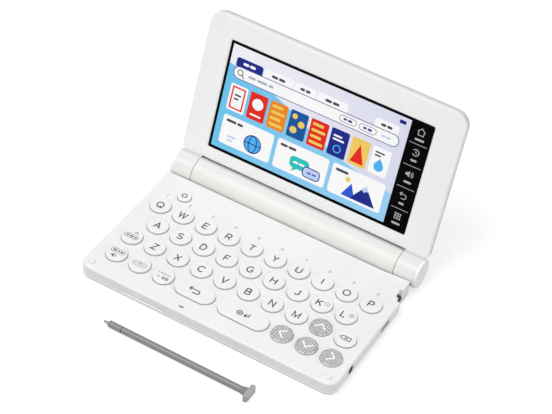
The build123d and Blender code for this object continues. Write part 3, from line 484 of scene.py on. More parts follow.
# Painted shade darkens the stylus where the floor and the case are near it.
STYLUS = Sweep("stylus_grey", "8B8B8C", roughness=0.32, painted_shade=0.75, painted_shade_mm=3.0, painted_shade_open=0.9, far="ACACAD",
               start=(37.9, 0.0), end=(38.7, 0.0))
NIB = Finish("nib_grey", "A4A4A5", roughness=0.6)


def lit(name: str, colour: str, glow: float = LIT_GLOW) -> Finish:
    """A display colour, and the share of it that the display sends out."""
    return Finish("lit_" + name, colour, mottle=0.012, glow=glow, **LIT)


LIT_WHITE = lit("white", "FFFFFF")
LIT_NAVY = lit("navy", "1B2A8C")
LIT_LINE = lit("line", "4A4C93")
LIT_BLUE = lit("blue", "2F5BD6")
LIT_SKY = lit("sky", "4FB4F0")
LIT_TEAL = lit("teal", "2CC5C0")
LIT_PALE = lit("pale", "C3D3F6")
LIT_RED = lit("red", "E8291C")
LIT_ORANGE = lit("orange", "F28A1E")
LIT_YELLOW = lit("yellow", "F5CE62")
LIT_DEEP = lit("deep_blue", "15569E")
LIT_TEXT = lit("text", "4B4C55")
LIT_GREY = lit("grey", "B5B7C2")
LIT_STRIP = lit("strip", "B4B6B8", 0.5)
LIT_GROUND = Sweep("lit_ground", "F4F3FB", glow=LIT_GLOW, far="DCDDF1", start=(-50.0, 70.0), end=(42.0, 30.0),
                   **LIT)
LIT_WATER = Sweep("lit_water", "6FC6F0", glow=LIT_GLOW, far="9ED3F6", start=(-58.0, 45.0), end=(46.0, 18.0),
                  **LIT)


# ---- printed work
def bow(cx: float, cy: float, rx: float, ry: float, start: float, turn: float,
        steps: int = 0) -> list[Point]:
    """Points along part of an ellipse, the angle falling where the turn is negative.

    Args:
        cx: Centre.
        cy: Centre.
        rx: Half width.
        ry: Half height.
        start: First angle in degrees.
        turn: Angle covered.
        steps: Number of chords, or zero to take it from the turn.

    Returns:
        The points.
    """
    steps = steps or max(4, int(abs(turn) / CHORD_DEG))
    angles = [math.radians(start + turn * i / steps) for i in range(steps + 1)]
    return [(cx + rx * math.cos(a), cy + ry * math.sin(a)) for a in angles]


def ellipse(cx: float, cy: float, rx: float, ry: float) -> list[Point]:
    """Points round a whole ellipse."""
    return bow(cx, cy, rx, ry, 0.0, 360.0, ROUND_CHORDS)[:-1]


def rounded(x0: float, y0: float, x1: float, y1: float, radii: float | tuple[float, ...]) -> list[Point]:
    """Outline of a rectangle with round corners.

    Args:
        x0: Left.
        y0: Bottom.
        x1: Right.
        y1: Top.
        radii: One radius, or four from the upper right corner anticlockwise.

    Returns:
        The points, anticlockwise.
    """
    four = (radii,) * 4 if isinstance(radii, (int, float)) else radii
    bends = ((x1, y1, -1, -1), (x0, y1, 1, -1), (x0, y0, 1, 1), (x1, y0, -1, 1))
    points = []
    for index, ((x, y, sx, sy), radius) in enumerate(zip(bends, four)):
        r = max(radius, 0.001)
        points += bow(x + sx * r, y + sy * r, r, r, 90.0 * index, 90.0, 6)
    return points


def stroke(points: list[Point], width: float) -> list[Point]:
    """Outline of a line of even width with mitred bends and square ends.

    Args:
        points: The line.
        width: Its width.

    Returns:
        The outline.
    """
    line = [Vector(p) for p in points]
    left, right = [], []
    for index, point in enumerate(line):
        ways = []
        if index:
            ways.append((point - line[index - 1]).normalized())
        if index < len(line) - 1:
            ways.append((line[index + 1] - point).normalized())
        mean = sum(ways, Vector((0, 0))).normalized()
        side = Vector((-mean.y, mean.x))
        normal = Vector((-ways[0].y, ways[0].x))
        reach = width / 2 / max(side.dot(normal), MITRE_LIMIT)
        left.append(tuple(point + side * reach))
        right.append(tuple(point - side * reach))
    return left + right[::-1]


BOWL_P = [(0, 0), (0, 1), (.38, 1)] + bow(.38, .73, .28, .27, 90, -180) + [(0, .46)]
LETTERS: dict[str, list[list[Point]]] = {
    "A": [[(0, 0), (.42, 1), (.84, 0)], [(.15, .33), (.69, .33)]],
    "B": [[(0, 0), (0, 1), (.38, 1)] + bow(.38, .76, .26, .24, 90, -180) + [(0, .52)],
          [(0, .52), (.40, .52)] + bow(.40, .26, .30, .26, 90, -180) + [(0, 0)]],
    "C": [bow(.42, .5, .42, .5, 42, 276)],
    "D": [[(0, 0), (0, 1), (.30, 1)] + bow(.30, .5, .44, .5, 90, -180) + [(0, 0)]],
    "E": [[(.64, 1), (0, 1), (0, 0), (.64, 0)], [(0, .52), (.57, .52)]],
    "F": [[(.62, 1), (0, 1), (0, 0)], [(0, .50), (.54, .50)]],
    "G": [bow(.43, .5, .43, .5, 44, 284) + [(.80, .46), (.47, .46)]],
    "H": [[(0, 0), (0, 1)], [(.72, 0), (.72, 1)], [(0, .52), (.72, .52)]],
    "I": [[(0, 0), (0, 1)]],
    "J": [[(.5, 1), (.5, .26)] + bow(.25, .26, .25, .26, 0, -165)],
    "K": [[(0, 0), (0, 1)], [(.66, 1), (0, .36)], [(.23, .60), (.70, 0)]],
    "L": [[(0, 1), (0, 0), (.58, 0)]],
    "M": [[(0, 0), (0, 1), (.44, .08), (.88, 1), (.88, 0)]],
    "N": [[(0, 0), (0, 1), (.70, 0), (.70, 1)]],
    "O": [bow(.46, .5, .46, .5, 90, 360)],
    "P": [BOWL_P],
    "Q": [bow(.46, .5, .46, .5, 90, 360), [(.52, .26), (.90, -.06)]],
    "R": [BOWL_P, [(.34, .46), (.70, 0)]],
    "S": [bow(.34, .74, .31, .26, 28, 242) + bow(.34, .25, .34, .25, 90, -246)],
    "T": [[(0, 1), (.76, 1)], [(.38, 1), (.38, 0)]],
    "U": [[(0, 1), (0, .34)] + bow(.36, .34, .36, .34, 180, 180) + [(.72, 1)]],
    "V": [[(0, 1), (.41, 0), (.82, 1)]],
    "W": [[(0, 1), (.28, 0), (.56, .96), (.84, 0), (1.12, 1)]],
    "X": [[(0, 1), (.74, 0)], [(.74, 1), (0, 0)]],
    "Y": [[(0, 1), (.38, .46), (.76, 1)], [(.38, .5), (.38, 0)]],
    "Z": [[(.02, 1), (.68, 1), (0, 0), (.70, 0)]],
    "0": [bow(.31, .5, .31, .5, 90, 360)],
    "1": [[(.05, .78), (.32, 1), (.32, 0)]],
    "2": [bow(.30, .70, .30, .30, 160, -200) + [(0, 0), (.62, 0)]],
    "3": [bow(.28, .75, .26, .25, 150, -240), bow(.28, .27, .30, .27, 90, -250)],
    "4": [[(.48, 0), (.48, 1), (0, .28), (.66, .28)]],
    "5": [[(.56, 1), (.08, 1), (.05, .55)] + bow(.28, .32, .29, .32, 118, -270)],
    "6": [bow(.32, .30, .32, .30, 90, 360), bow(.70, .30, .70, .70, 105, 75)],
    "7": [[(0, 1), (.58, 1), (.20, 0)]],
    "8": [bow(.30, .76, .26, .24, 90, 360), bow(.30, .26, .31, .27, 90, 360)],
    "9": [bow(.32, .70, .32, .30, 90, 360), bow(-.06, .70, .70, .70, -75, 75)],
}


class Print:
    """Thin layers of print on one plane, gathered into one piece. Sizes are in mm on that plane."""

    SINK = 0.02     # depth below the plane
    FIRST = 0.02    # lowest layer's height
    STEP = 0.016    # one layer over another

    def __init__(self, name: str) -> None:
        """Start an empty print.

        Args:
            name: The piece's name.
        """
        self.name = name
        self.mesh = bmesh.new()
        self.finishes: dict[Finish, int] = {}

    def index(self, finish: Finish) -> int:
        """Number of a finish's material slot on this piece, added where it is new."""
        return self.finishes.setdefault(finish, len(self.finishes))

    def loops(self, outline: list[Point], layer: float) -> Iterator[list[bmesh.types.BMVert]]:
        """Vertices of an outline, first below the plane and then at the top of a layer."""
        for z in (-self.SINK, self.FIRST + layer * self.STEP):
            yield [self.mesh.verts.new((x * MM, y * MM, z * MM)) for x, y in outline]

    def sides(self, low: list[bmesh.types.BMVert], high: list[bmesh.types.BMVert], slot: int) -> None:
        """Join two loops of equal length by four-sided faces."""
        for a, b, c, d in zip(low, low[1:] + low[:1], high[1:] + high[:1], high):
            self.mesh.faces.new((a, b, c, d)).material_index = slot

    def solid(self, outline: list[Point], finish: Finish, layer: float = 0) -> None:
        """Filled shape.

        Args:
            outline: Its edge.
            finish: Its finish.
            layer: How high it lies.
        """
        slot = self.index(finish)
        low, high = self.loops(outline, layer)
        self.mesh.faces.new(low[::-1]).material_index = slot
        self.mesh.faces.new(high).material_index = slot
        self.sides(low, high, slot)

    def band(self, outer: list[Point], inner: list[Point], finish: Finish, layer: int = 0) -> None:
        """Shape between two closed outlines with as many points.

        Args:
            outer: Outer edge.
            inner: Inner edge.
            finish: Its finish.
            layer: How high it lies.
        """
        slot = self.index(finish)
        low_out, high_out = self.loops(outer, layer)
        low_in, high_in = self.loops(inner, layer)
        self.sides(low_out, high_out, slot)
        self.sides(high_in, low_in, slot)
        self.sides(high_out, high_in, slot)
        self.sides(low_in, low_out, slot)

    def disc(self, cx: float, cy: float, radius: float, finish: Finish, layer: int = 0) -> None:
        """Filled circle."""
        self.solid(ellipse(cx, cy, radius, radius), finish, layer)

    def ring(self, cx: float, cy: float, radius: float, width: float, finish: Finish, layer: int = 0) -> None:
        """Circle drawn with a line inside its radius."""
        outer, inner = (ellipse(cx, cy, r, r) for r in (radius, radius - width))
        self.band(outer, inner, finish, layer)

    def arc(self, cx: float, cy: float, radius: float, width: float, start: float, turn: float,
            finish: Finish, layer: int = 0) -> None:
        """Part of a circle drawn with a line, whose middle is at the radius."""
        self.solid(stroke(bow(cx, cy, radius, radius, start, turn, ROUND_CHORDS // 2), width), finish, layer)

    def line(self, points: list[Point], width: float, finish: Finish, layer: int = 0) -> None:
        """Line through points."""
        self.solid(stroke(points, width), finish, layer)

    def panel(self, x0: float, y0: float, x1: float, y1: float, radii: float | tuple[float, ...],
              finish: Finish, layer: int = 0) -> None:
        """Filled rectangle with round corners."""
        self.solid(rounded(x0, y0, x1, y1, radii), finish, layer)

    def frame(self, x0: float, y0: float, x1: float, y1: float, radius: float, width: float,
              finish: Finish, layer: int = 0) -> None:
        """Outline of a rectangle with round corners, its line inside the edge."""
        outer, inner = (rounded(x0 + w, y0 + w, x1 - w, y1 - w, radius - w) for w in (0.0, width))
        self.band(outer, inner, finish, layer)

    def words(self, x: float, y: float, lengths: tuple[float, ...], height: float, finish: Finish,
              layer: int = 0, gap: float = 0.5) -> None:
        """Row of round-ended bars that stands for a line of text.

        Args:
            x: Left end.
            y: Middle of the row.
            lengths: Length of each bar.
            height: Height of the bars.
            finish: Their finish.
            layer: How high they lie.
            gap: Space between bars.
        """
        for length in lengths:
            self.panel(x, y - height / 2, x + length, y + height / 2, height / 2.01, finish, layer)
            x += length + gap

    def bars(self, x: float, rows: tuple[Point, ...], height: float, finish: Finish, layer: int = 4) -> None:
        """Bars below one another, from the middle and length of each."""
        for y, length in rows:
            self.words(x, y, (length,), height, finish, layer)

    def letter(self, text: str, cx: float, cy: float, height: float, width: float, finish: Finish,
               layer: float = 0) -> None:
        """Plain capital or figure, centred on a point.

        Args:
            text: One character.
            cx: Centre.
            cy: Centre.
            height: Its height.
            width: Width of its lines.
            finish: Its finish.
            layer: How high it lies.
        """
        strokes = LETTERS[text]
        xs = [x for line in strokes for x, _ in line]
        middle = (min(xs) + max(xs)) / 2
        scale = height - width
        for index, line in enumerate(strokes):
            points = [(cx + (x - middle) * scale, cy + (y - 0.5) * scale) for x, y in line]
            self.solid(stroke(points, width), finish, layer + 0.15 * index)

    def place(self, matrix: Matrix, body: str) -> bpy.types.Object:
        """Turn the print into a piece on a body.

        Args:
            matrix: From the print's plane to the row frame.
            body: Body that it rides on.

        Returns:
            The piece.
        """
        bmesh.ops.recalc_face_normals(self.mesh, faces=self.mesh.faces)
        mesh = bpy.data.meshes.new(self.name)
        self.mesh.to_mesh(mesh)
        self.mesh.free()
        for finish in self.finishes:
            mesh.materials.append(finish.material())
        piece = show(self.name, mesh)
        piece.matrix_world = matrix
        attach(piece, body)
        log.info("%s: %d faces on %s", self.name, len(mesh.polygons), body)
        return piece


# ---- solids of the frame
@dataclass
class Frame:
    """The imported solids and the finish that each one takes.

    Attributes:
        finishes: Finish by node.
    """

    finishes: dict[str, Finish] = field(default_factory=lambda: {
        "base_top_case": SHELL, "base_bottom_case": TRAY, "rubber_feet": RUBBER, "case_screws": STEEL,
        "main_board": BOARD, "key_dome_sheet": DOMES, "side_socket": SOCKET, "speaker": SPEAKER,
        "stylus_tube": STYLUS_NOTCH_SHADE, "hinge_barrel": BARREL, "battery_cover": BARREL, "battery_cells": CELL,
        "battery_contacts": CONTACT, "hinge_shafts": SHAFT, "lid_front_frame": FACE, "lid_back_cover": BACK,
        "touch_glass": GLASS, "lcd_module": MODULE, "hinge_end_caps": CAP, "stylus_body": STYLUS,
        "stylus_nib": NIB})

    def dress(self, nodes: dict[str, bpy.types.Object]) -> None:
        """Give every solid its material.

        Args:
            nodes: The frame's solids by name.
        """
        lo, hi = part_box("earphone_jack")
        axis = ((lo.y + hi.y) / 2 / MM, (lo.z + hi.z) / 2 / MM)
        jack = Collared("jack_black", "E4E4E4", roughness=0.35, axis=axis, radius=2.15)
        arrows = {"key_" + arrow.name.lower(): ARROW for arrow in Arrow}
        finishes = self.finishes | arrows | {"earphone_jack": jack}
        for name, node in nodes.items():
            node.data.materials.clear()
            node.data.materials.append(finishes.get(name, KEYCAP).material())


# ---- keys
class Arrow(Enum):
    """Arrow keys and the angle each one points at, in degrees."""

    RIGHT = 0.0
    UP = 90.0
    LEFT = 180.0
    DOWN = 270.0


@dataclass
class Keyboard:
    """Legends on the keys and the deck.

    Attributes:
        letter_h: Height of a key's capital.
        letter_w: Width of its lines.
        letter_up: Capital's centre above the key's centre.
        figure_h: Height of the figures on the deck.
        figure_y: Their row.
        figure_x: Centres of the first and last figure.
        figure_w: Width of their lines.
        chevron: An arrow key's chevron, pointing right.
        chevron_w: Width of its lines.
        rim: Radius and width of the ring round it.
        slot_x: Ends of the microphone slot in the deck, less its round ends.
        slot_y: Its middle.
        slot_w: Width of the dark sheet inside it.
        slot_sink: Depth of the dark sheet below the deck.
    """

    letter_h: float = 4.6
    letter_w: float = 0.66
    letter_up: float = -0.2
    figure_h: float = 2.0
    figure_y: float = 18.3
    figure_x: Point = (-64.2, 61.9)
    figure_w: float = 0.32
    chevron: tuple[Point, ...] = ((-1.5, 2.9), (1.6, 0), (-1.5, -2.9))
    chevron_w: float = 0.85
    rim: Point = (5.0, 0.3)
    slot_x: Point = (-15.9, -14.1)
    slot_y: float = -45.764
    slot_w: float = 0.86
    slot_sink: float = 0.35

    @contextmanager
    def legend(self, key: str, turn: float = 0.0) -> Iterator[Print]:
        """Print for one key's top, put on the key once it is drawn.

        Args:
            key: The key's name without its prefix.
            turn: Angle that the print is turned by, in degrees.

        Yields:
            The empty print, with its origin at the key's centre.
        """
        work = Print("legend_" + key)
        yield work
        lo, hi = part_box("key_" + key)
        plane = Matrix.Translation(((lo.x + hi.x) / 2, (lo.y + hi.y) / 2, hi.z))
        work.place(plane @ Matrix.Rotation(math.radians(turn), 4, "Z"), "key_" + key)

    def letters(self) -> None:
        """Capitals on the letter keys, and the marks beside two of them."""
        for key in "qwertyuiopasdfghjklzxcvbnm":
            marked = key in "kl"
            with self.legend(key) as work:
                work.letter(key.upper(), -1.3 if marked else 0.0, self.letter_up, self.letter_h,
                            self.letter_w, INK)
                if marked:
                    x, y = 2.5, self.letter_up + 1.1
                    work.ring(x, y, 1.45, 0.34, PALE_INK)
                    work.line([(x - 0.75, y), (x + 0.75, y)], 0.36, PALE_INK)
                    if key == "l":
                        work.line([(x, y - 0.75), (x, y + 0.75)], 0.36, PALE_INK, 1)

    def arrows(self) -> None:
        """Rims and white chevrons on the arrow keys."""
        for arrow in Arrow:
            with self.legend(arrow.name.lower(), arrow.value) as work:
                work.line(list(self.chevron), self.chevron_w, WHITE_INK)
                work.ring(0, 0, *self.rim, RIM_INK)

    def commands(self) -> None:
        """Marks on the command keys."""
        with self.legend("power") as work:
            work.ring(0, 0.1, 1.6, 0.58, INK)
        with self.legend("mode") as work:
            work.frame(-4.2, -2.1, 4.0, 0.9, 1.4, 0.3, GREY_INK)
            work.words(-3.1, -0.6, (1.5, 2.5, 1.4), 1.2, GREY_INK, gap=0.45)
            work.line([(0.1, 1.9), (1.1, 3.4), (2.1, 1.9)], 0.42, GREY_INK)
        with self.legend("audio") as work:
            work.frame(-4.1, -0.2, 4.2, 2.9, 1.4, 0.3, GREY_INK)
            work.words(-3.0, 1.35, (2.4, 1.2, 1.8), 1.2, GREY_INK, gap=0.45)
            work.solid([(-1.9, -2.7), (-1.2, -2.7), (-0.2, -3.6), (-0.2, -1.0), (-1.2, -1.9), (-1.9, -1.9)],
                       INK)
            work.arc(-0.5, -2.3, 1.3, 0.34, -50.0, 100.0, INK)
        with self.legend("shift") as work:
            work.frame(-4.2, -1.9, 4.2, 1.5, 1.65, 0.32, PALE_INK)
            work.line([(-1.4, -0.4), (0.0, 0.8), (1.4, -0.4)], 0.5, PALE_INK)
            work.line([(0.0, -1.1), (0.0, 0.3)], 0.5, PALE_INK, 1)
            for x in (-2.6, 2.6):
                work.ring(x, -0.2, 0.7, 0.3, PALE_INK)
        with self.legend("list") as work:
            work.words(-3.4, 1.1, (0.8, 1.5, 1.3, 1.0, 0.7), 0.55, GREY_INK, gap=0.4)
            work.words(-2.6, -1.7, (1.4,), 0.5, INK)
            for x in (0.2, 2.1):
                work.frame(x, -2.7, x + 1.5, -0.7, 0.4, 0.34, INK)
                work.line([(x + 0.2, -1.7), (x + 1.3, -1.7)], 0.32, INK, 1)
        with self.legend("delete") as work:
            tag = [(-1.4, 1.1), (-2.9, -0.1), (-1.4, -1.3), (2.7, -1.3), (2.7, 1.1), (-1.5, 1.1)]
            work.line(tag, 0.55, GREY_INK)
            work.line([(-0.4, -0.7), (1.2, 0.5)], 0.42, GREY_INK, 1)
            work.line([(-0.4, 0.5), (1.2, -0.7)], 0.42, GREY_INK, 2)
        with self.legend("back") as work:
            work.line([(-2.0, 1.9), (-3.3, 0.6), (-2.0, -0.7)], 0.6, INK)
            work.line([(-3.1, 0.6), (1.6, 0.6)], 0.6, INK, 1)
            work.arc(1.6, -0.6, 1.2, 0.6, -90.0, 180.0, INK, 2)
            work.line([(1.65, -1.8), (-0.7, -1.8)], 0.6, INK, 3)
        with self.legend("enter") as work:
            work.ring(-2.0, -0.1, 1.7, 0.55, INK)
            work.disc(-2.0, -0.1, 0.6, INK)
            work.line([(3.1, 1.7), (3.1, -0.4), (0.9, -0.4)], 0.58, INK)
            work.line([(1.9, 0.7), (0.7, -0.4), (1.9, -1.5)], 0.54, INK, 1)

    def figures(self) -> None:
        """Small figures on the deck, over the top row."""
        work = Print("deck_figures")
        first, last = self.figure_x
        for index, text in enumerate("1234567890"):
            x = first + (last - first) * index / 9
            work.letter(text, x, self.figure_y, self.figure_h, self.figure_w, PALE_INK)
        work.place(Matrix.Translation((0, 0, DECK_Z * MM)), "base")

    def microphone(self) -> None:
        """Dark sheet inside the microphone slot, painted shade."""
        work = Print("microphone_slot_shade_sheet")
        work.line([(x, self.slot_y) for x in self.slot_x], self.slot_w, MESH)
        work.place(Matrix.Translation((0, 0, (DECK_Z - self.slot_sink) * MM)), "base")

    def build(self) -> None:
        """Print every legend, and fill the microphone slot with painted shade."""
        self.letters()
        self.arrows()
        self.commands()
        self.figures()
        self.microphone()


# ---- display
@dataclass
class Display:
    """Lit picture and touch strip on the glass. Picture sizes are from its lower left corner.

    Attributes:
        left: Picture's left edge on the lid.
        foot: Its lower edge.
        width: Its width.
        height: Its height.
        margin: Space left of the tabs, tiles and cards.
        strip_x: Middle of the touch strip.
        dividers: Lines between the strip's fields, along the lid.
    """

    left: float = -58.1
    foot: float = 17.2
    width: float = 103.75
    height: float = 59.5
    margin: float = 3.6
    strip_x: float = 52.05
    dividers: tuple[float, ...] = (65.6, 53.2, 40.5, 28.1)

    def plane(self) -> Matrix:
        """The glass, with its origin at the picture's lower left corner."""
        return lid_matrix(GLASS_N) @ Matrix.Translation((self.left * MM, self.foot * MM, 0))

    def ground(self) -> None:
        """Pale ground and blue water with a soft wave between them."""
        work = Print("picture_ground")
        right = self.left + self.width
        work.panel(self.left, self.foot, right, self.foot + self.height, 0.001, LIT_GROUND)
        crest, fall, swell, steps = 48.5, 33.0, 2.2, 32
        wave = []
        for share in (step / steps for step in range(steps + 1)):
            up = crest - fall * share + swell * math.sin(share * 2.2 * math.pi)
            wave.append((self.left + self.width * share, self.foot + up))
        work.solid([(self.left, self.foot), (right, self.foot)] + wave[::-1], LIT_WATER, 1)
        work.place(lid_matrix(GLASS_N), "lid")

    def tabs(self) -> None:
        """Tabs, search field and battery mark along the top."""
        work = Print("picture_tabs")
        spans = ((self.margin, 19.4), (20.2, 37.5), (38.3, 50.9), (51.7, 69.4), (85.0, 98.6))
        for index, (x0, x1) in enumerate(spans):
            ground, text = (LIT_WHITE, LIT_TEXT) if index else (LIT_NAVY, LIT_WHITE)
            work.panel(x0, 48.2, x1, 53.4, (1.5, 1.5, 0.01, 0.01), ground, 2)
            half = (x1 - x0) * 0.24
            work.words((x0 + x1) / 2 - half, 50.8, (half * 0.9,) * 2, 1.5, text, 3)
        work.panel(3.2, 41.6, 100.2, 48.6, 3.3, LIT_LINE, 4)
        work.panel(self.margin, 42.0, 99.8, 48.2, 3.0, LIT_WHITE, 5)
        work.ring(7.2, 45.4, 1.75, 0.5, LIT_TEXT, 6)
        work.line([(8.4, 44.2), (9.8, 42.9)], 0.6, LIT_TEXT, 7)
        work.words(12.0, 45.1, (4.5, 6.0, 3.0), 1.4, LIT_GREY, 6, 0.8)
        for x in (66.0, 77.4):
            work.frame(x, 43.2, x + 10.0, 47.0, 1.8, 0.3, LIT_LINE, 6)
            work.words(x + 2.4, 45.1, (2.0, 2.6), 1.3, LIT_LINE, 7)
        work.words(90.2, 45.1, (2.4, 2.4), 1.2, LIT_PALE, 6)
        work.panel(97.6, 55.6, 101.2, 57.6, 0.4, LIT_NAVY, 2)
        work.place(self.plane(), "lid")

    def tiles(self) -> None:
        """Row of small coloured covers."""
        work = Print("picture_tiles")
        y0, y1, wide, pitch = 23.2, 38.4, 10.4, 12.05
        looks = ((LIT_WHITE, LIT_RED), (LIT_RED, LIT_WHITE), (LIT_ORANGE, LIT_YELLOW), (LIT_DEEP, LIT_YELLOW),
                 (LIT_RED, LIT_YELLOW), (LIT_NAVY, LIT_WHITE), (LIT_YELLOW, LIT_RED), (LIT_WHITE, LIT_SKY))
        for index, (ground, mark) in enumerate(looks):
            x = self.margin + pitch * index
            mid = x + wide / 2
            work.panel(x, y0, x + wide, y1, 0.9, ground, 3)
            if index == 0:
                work.frame(x + 1.2, y0 + 1.2, x + wide - 1.2, y1 - 1.2, 0.5, 0.9, mark, 4)
                work.bars(x + 3.2, ((32.6, 4.0), (30.4, 2.8)), 1.0, LIT_TEXT)
            elif index == 1:
                work.disc(mid, 32.4, 3.2, mark, 4)
                work.bars(x + 1.8, ((25.9, 6.6),), 1.0, mark)
            elif index in (2, 4):
                for level in range(4):
                    work.panel(x + 1.2, y0 + 1.6 + 3.4 * level, x + wide - 1.2 - 1.6 * (level % 2),
                               y0 + 3.2 + 3.4 * level, 0.6, mark, 4)
            elif index == 3:
                for dx, dy, size in ((2.8, 12.0, 1.5), (7.2, 8.6, 1.9), (3.4, 4.4, 2.0)):
                    work.disc(x + dx, y0 + dy, size, mark, 4)
            elif index == 5:
                work.bars(x + 1.6, ((34.6, 5.0), (32.6, 6.6)), 1.0, mark)
                work.ring(mid, 27.6, 2.3, 0.6, LIT_SKY, 4)
            elif index == 6:
                work.solid([(x + 1.4, y0 + 1.6), (x + wide - 1.4, y0 + 1.6), (mid, y1 - 3.0)], mark, 4)
            else:
                work.bars(x + 1.6, ((35.6, 5.4), (33.8, 3.6)), 0.9, LIT_TEXT)
                work.solid(bow(mid, 28.0, 2.7, 2.7, 150.0, 240.0, 24) + [(mid, 32.6)], mark, 4)
        work.place(self.plane(), "lid")

    def cards(self) -> None:
        """Three wide white cards with blue drawings."""
        work = Print("picture_cards")
        wide, pitch, y0, y1 = 30.6, 32.9, 3.4, 20.2
        for index, title in enumerate(((6.0, 3.4), (4.2, 4.6), (7.4,))):
            x = self.margin + pitch * index
            work.panel(x, y0, x + wide, y1, 1.4, LIT_WHITE, 3)
            work.words(x + 2.0, y1 - 2.9, title, 1.5, LIT_TEXT, 4)
        x = self.margin + 19.5
        work.disc(x, 9.8, 5.2, LIT_SKY, 4)
        work.ring(x, 9.8, 5.2, 0.55, LIT_NAVY, 5)
        work.line([(x - 4.9, 9.8), (x + 4.9, 9.8)], 0.5, LIT_NAVY, 6)
        work.band(ellipse(x, 9.8, 2.5, 5.0), ellipse(x, 9.8, 2.0, 4.5), LIT_NAVY, 7)
        work.bars(x - 15.0, ((8.6, 5.0), (6.4, 3.4)), 1.1, LIT_PALE)
        x = self.margin + pitch + 18.0
        work.panel(x - 9.0, 7.4, x + 2.6, 14.0, 2.6, LIT_TEAL, 4)
        work.solid([(x - 6.4, 7.6), (x - 6.9, 5.2), (x - 3.6, 7.6)], LIT_TEAL, 5)
        work.words(x - 6.9, 10.7, (3.0, 3.4), 1.1, LIT_WHITE, 6)
        work.frame(x - 0.8, 5.0, x + 9.6, 11.2, 2.4, 0.55, LIT_NAVY, 7)
        work.panel(x - 0.4, 5.4, x + 9.2, 10.8, 2.1, LIT_PALE, 6)
        work.words(x + 2.0, 8.1, (2.4, 2.4), 1.0, LIT_BLUE, 8)
        x = self.margin + 2 * pitch + 18.0
        work.solid([(x - 10.0, 4.8), (x - 2.0, 4.8), (x - 5.6, 13.0)], LIT_BLUE, 4)
        work.solid([(x - 5.0, 4.8), (x + 9.6, 4.8), (x + 2.6, 15.0)], LIT_NAVY, 5)
        work.solid([(x + 0.6, 12.0), (x + 2.1, 10.9), (x + 3.2, 12.1), (x + 4.6, 12.0), (x + 2.6, 15.0)],
                   LIT_PALE, 6)
        work.disc(x - 8.2, 14.2, 1.4, LIT_YELLOW, 4)
        work.place(self.plane(), "lid")

    def strip(self) -> None:
        """Marks and lines on the touch strip."""
        work = Print("touch_strip_marks")
        x = self.strip_x
        for s in self.dividers:
            work.line([(x - 4.9, s), (x + 4.9, s)], 0.28, LIT_STRIP)
        edges = (self.foot + self.height,) + self.dividers + (self.foot,)
        rows = [(high + low) / 2 for high, low in zip(edges, edges[1:])]
        for s, length in zip(rows, (5.2, 3.4, 4.2, 3.0, 4.8)):
            work.words(x - length / 2, s - 3.0, (length,), 1.15, LIT_STRIP)
        s = rows[0] + 1.4
        work.line([(x - 2.1, s + 0.1), (x, s + 2.1), (x + 2.1, s + 0.1)], 0.42, LIT_STRIP)
        work.line([(x - 1.5, s + 0.2), (x - 1.5, s - 1.8), (x + 1.5, s - 1.8), (x + 1.5, s + 0.2)], 0.42,
                  LIT_STRIP, 1)
        s = rows[1] + 1.6
        work.arc(x, s, 1.8, 0.42, -150.0, 300.0, LIT_STRIP)
        work.line([(x, s + 1.1), (x, s), (x + 0.9, s - 0.5)], 0.36, LIT_STRIP, 1)
        s = rows[2] + 1.6
        work.solid([(x - 2.2, s - 0.7), (x - 1.2, s - 0.7), (x, s - 1.8), (x, s + 1.8), (x - 1.2, s + 0.7),
                    (x - 2.2, s + 0.7)], LIT_STRIP)
        for radius in (1.2, 2.1):
            work.arc(x - 0.1, s, radius, 0.36, -50.0, 100.0, LIT_STRIP)
        s = rows[3] + 1.4
        work.arc(x + 0.4, s - 0.3, 1.3, 0.42, -90.0, 180.0, LIT_STRIP)
        work.line([(x + 0.5, s + 1.0), (x - 2.0, s + 1.0)], 0.42, LIT_STRIP, 1)
        work.line([(x - 0.9, s + 2.0), (x - 2.0, s + 1.0), (x - 0.9, s)], 0.42, LIT_STRIP, 2)
        work.line([(x + 0.45, s - 1.6), (x - 1.0, s - 1.6)], 0.42, LIT_STRIP, 1)
        s = rows[4] + 1.2
        for row in range(3):
            for column in range(3):
                cx, cy = x + 1.35 * (column - 1), s + 1.35 * (row - 1)
                work.panel(cx - 0.45, cy - 0.45, cx + 0.45, cy + 0.45, 0.1, LIT_STRIP)
        work.place(lid_matrix(GLASS_N), "lid")

    def build(self) -> None:
        """Print the whole display."""
        self.ground()
        self.tabs()
        self.tiles()
        self.cards()
        self.strip()


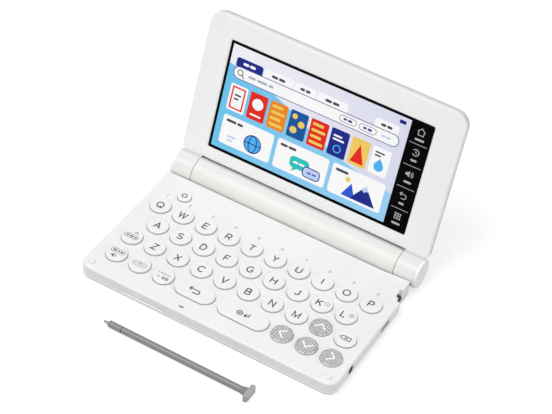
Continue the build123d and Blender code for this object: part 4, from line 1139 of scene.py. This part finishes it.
# ---- stage
@dataclass
class Studio:
    """Floor, soft light and camera.

    Attributes:
        eye: Camera's place in mm.
        forward: Way that it looks.
        right: Its right hand.
        lens: Focal length over a 36 mm sensor.
        world: Strength of the surroundings.
        lamps: Name, place in metres, size and power in watts of each soft lamp.
        floor_tones: The two tones that the floor drifts between.
        floor_glow: Light that the floor adds where it is seen, so that it reads as white.
        floor_half: Half of its width in metres.
        floor_drop: How far it lies below the part, in metres.
    """

    eye: tuple[float, float, float] = (317.46, -630.03, 706.32)
    forward: tuple[float, float, float] = (-0.32246, 0.65747, -0.68099)
    right: tuple[float, float, float] = (0.85918, 0.50522, 0.08093)
    lens: float = 127.36
    world: float = 0.50
    lamps: tuple[tuple[str, tuple[float, float, float], float, float], ...] = (
        ("front", (-0.40, -0.76, 1.60), 1.1, 17.6),
        ("side", (1.52, 0.0, 0.48), 1.0, 4.0),
    )
    floor_tones: tuple[str, str] = ("B6B6B6", "B8B8B8")
    floor_glow: float = 0.66
    floor_half: float = 3.0
    floor_drop: float = 0.0002

    def floor(self) -> None:
        """Pale floor that reads as the white of the surroundings and keeps a soft shadow."""
        nodes = Nodes("floor_white")
        path = nodes.add("LightPath").outputs
        seen = path["Is Camera Ray"]
        for ray in ("Is Glossy Ray", "Is Transmission Ray"):
            seen = nodes.add("Math", {0: seen, 1: path[ray]}, operation="MAXIMUM").outputs[0]
        place = nodes.add("TexCoord").outputs["Object"]
        drift = nodes.add("TexNoise", {"Vector": place, "Scale": 3.0})
        colour = nodes.mix(drift.outputs[0], *(linear(tone) for tone in self.floor_tones))
        diffuse = nodes.add("BsdfDiffuse", {"Color": colour})
        glow = nodes.add("Emission", {"Color": WHITE, "Strength": self.floor_glow})
        both = nodes.add("AddShader", {0: diffuse.outputs[0], 1: glow.outputs[0]})
        nodes.close(nodes.add("MixShader", {0: seen, 1: diffuse.outputs[0], 2: both.outputs[0]}))
        plate = bmesh.new()
        bmesh.ops.create_grid(plate, x_segments=8, y_segments=8, size=self.floor_half)
        mesh = bpy.data.meshes.new("floor")
        plate.to_mesh(mesh)
        plate.free()
        mesh.materials.append(nodes.material)
        floor = show("floor", mesh)
        floor.location = (0, 0, -self.floor_drop)

    def light(self) -> None:
        """White surroundings and soft lamps."""
        world = bpy.data.worlds.new("studio")
        world.use_nodes = True
        ground = world.node_tree.nodes["Background"]
        ground.inputs["Color"].default_value = WHITE
        ground.inputs["Strength"].default_value = self.world
        bpy.context.scene.world = world
        for name, place, size, power in self.lamps:
            data = bpy.data.lights.new(name, "AREA")
            data.shape = "DISK"
            data.size = size
            data.energy = power
            lamp = show(name, data)
            lamp.location = place
            lamp.rotation_mode = "QUATERNION"
            lamp.rotation_quaternion = (-lamp.location).to_track_quat("-Z", "Y")

    def camera(self) -> None:
        """Camera with its small roll."""
        data = bpy.data.cameras.new("camera")
        data.lens = self.lens
        data.sensor_width = 36.0
        data.sensor_fit = "HORIZONTAL"
        data.clip_start, data.clip_end = 0.05, 20.0
        camera = show("camera", data)
        forward, right = Vector(self.forward).normalized(), Vector(self.right).normalized()
        up = right.cross(forward)
        turn = Matrix((right, up, -forward)).transposed().to_4x4()
        camera.matrix_world = Matrix.Translation(Vector(self.eye) * MM) @ turn
        bpy.context.scene.camera = camera

    def build(self) -> None:
        """Set the whole stage."""
        self.camera()
        self.light()
        self.floor()
        bpy.context.scene.view_settings.view_transform = "Standard"


def main() -> None:
    """Load the frame, dress it and set the stage."""
    logging.basicConfig(level=logging.INFO, format="%(message)s")
    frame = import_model()
    Studio().build()
    Frame().dress(frame["nodes"])
    Keyboard().build()
    Display().build()


if __name__ == "__main__":
    main()
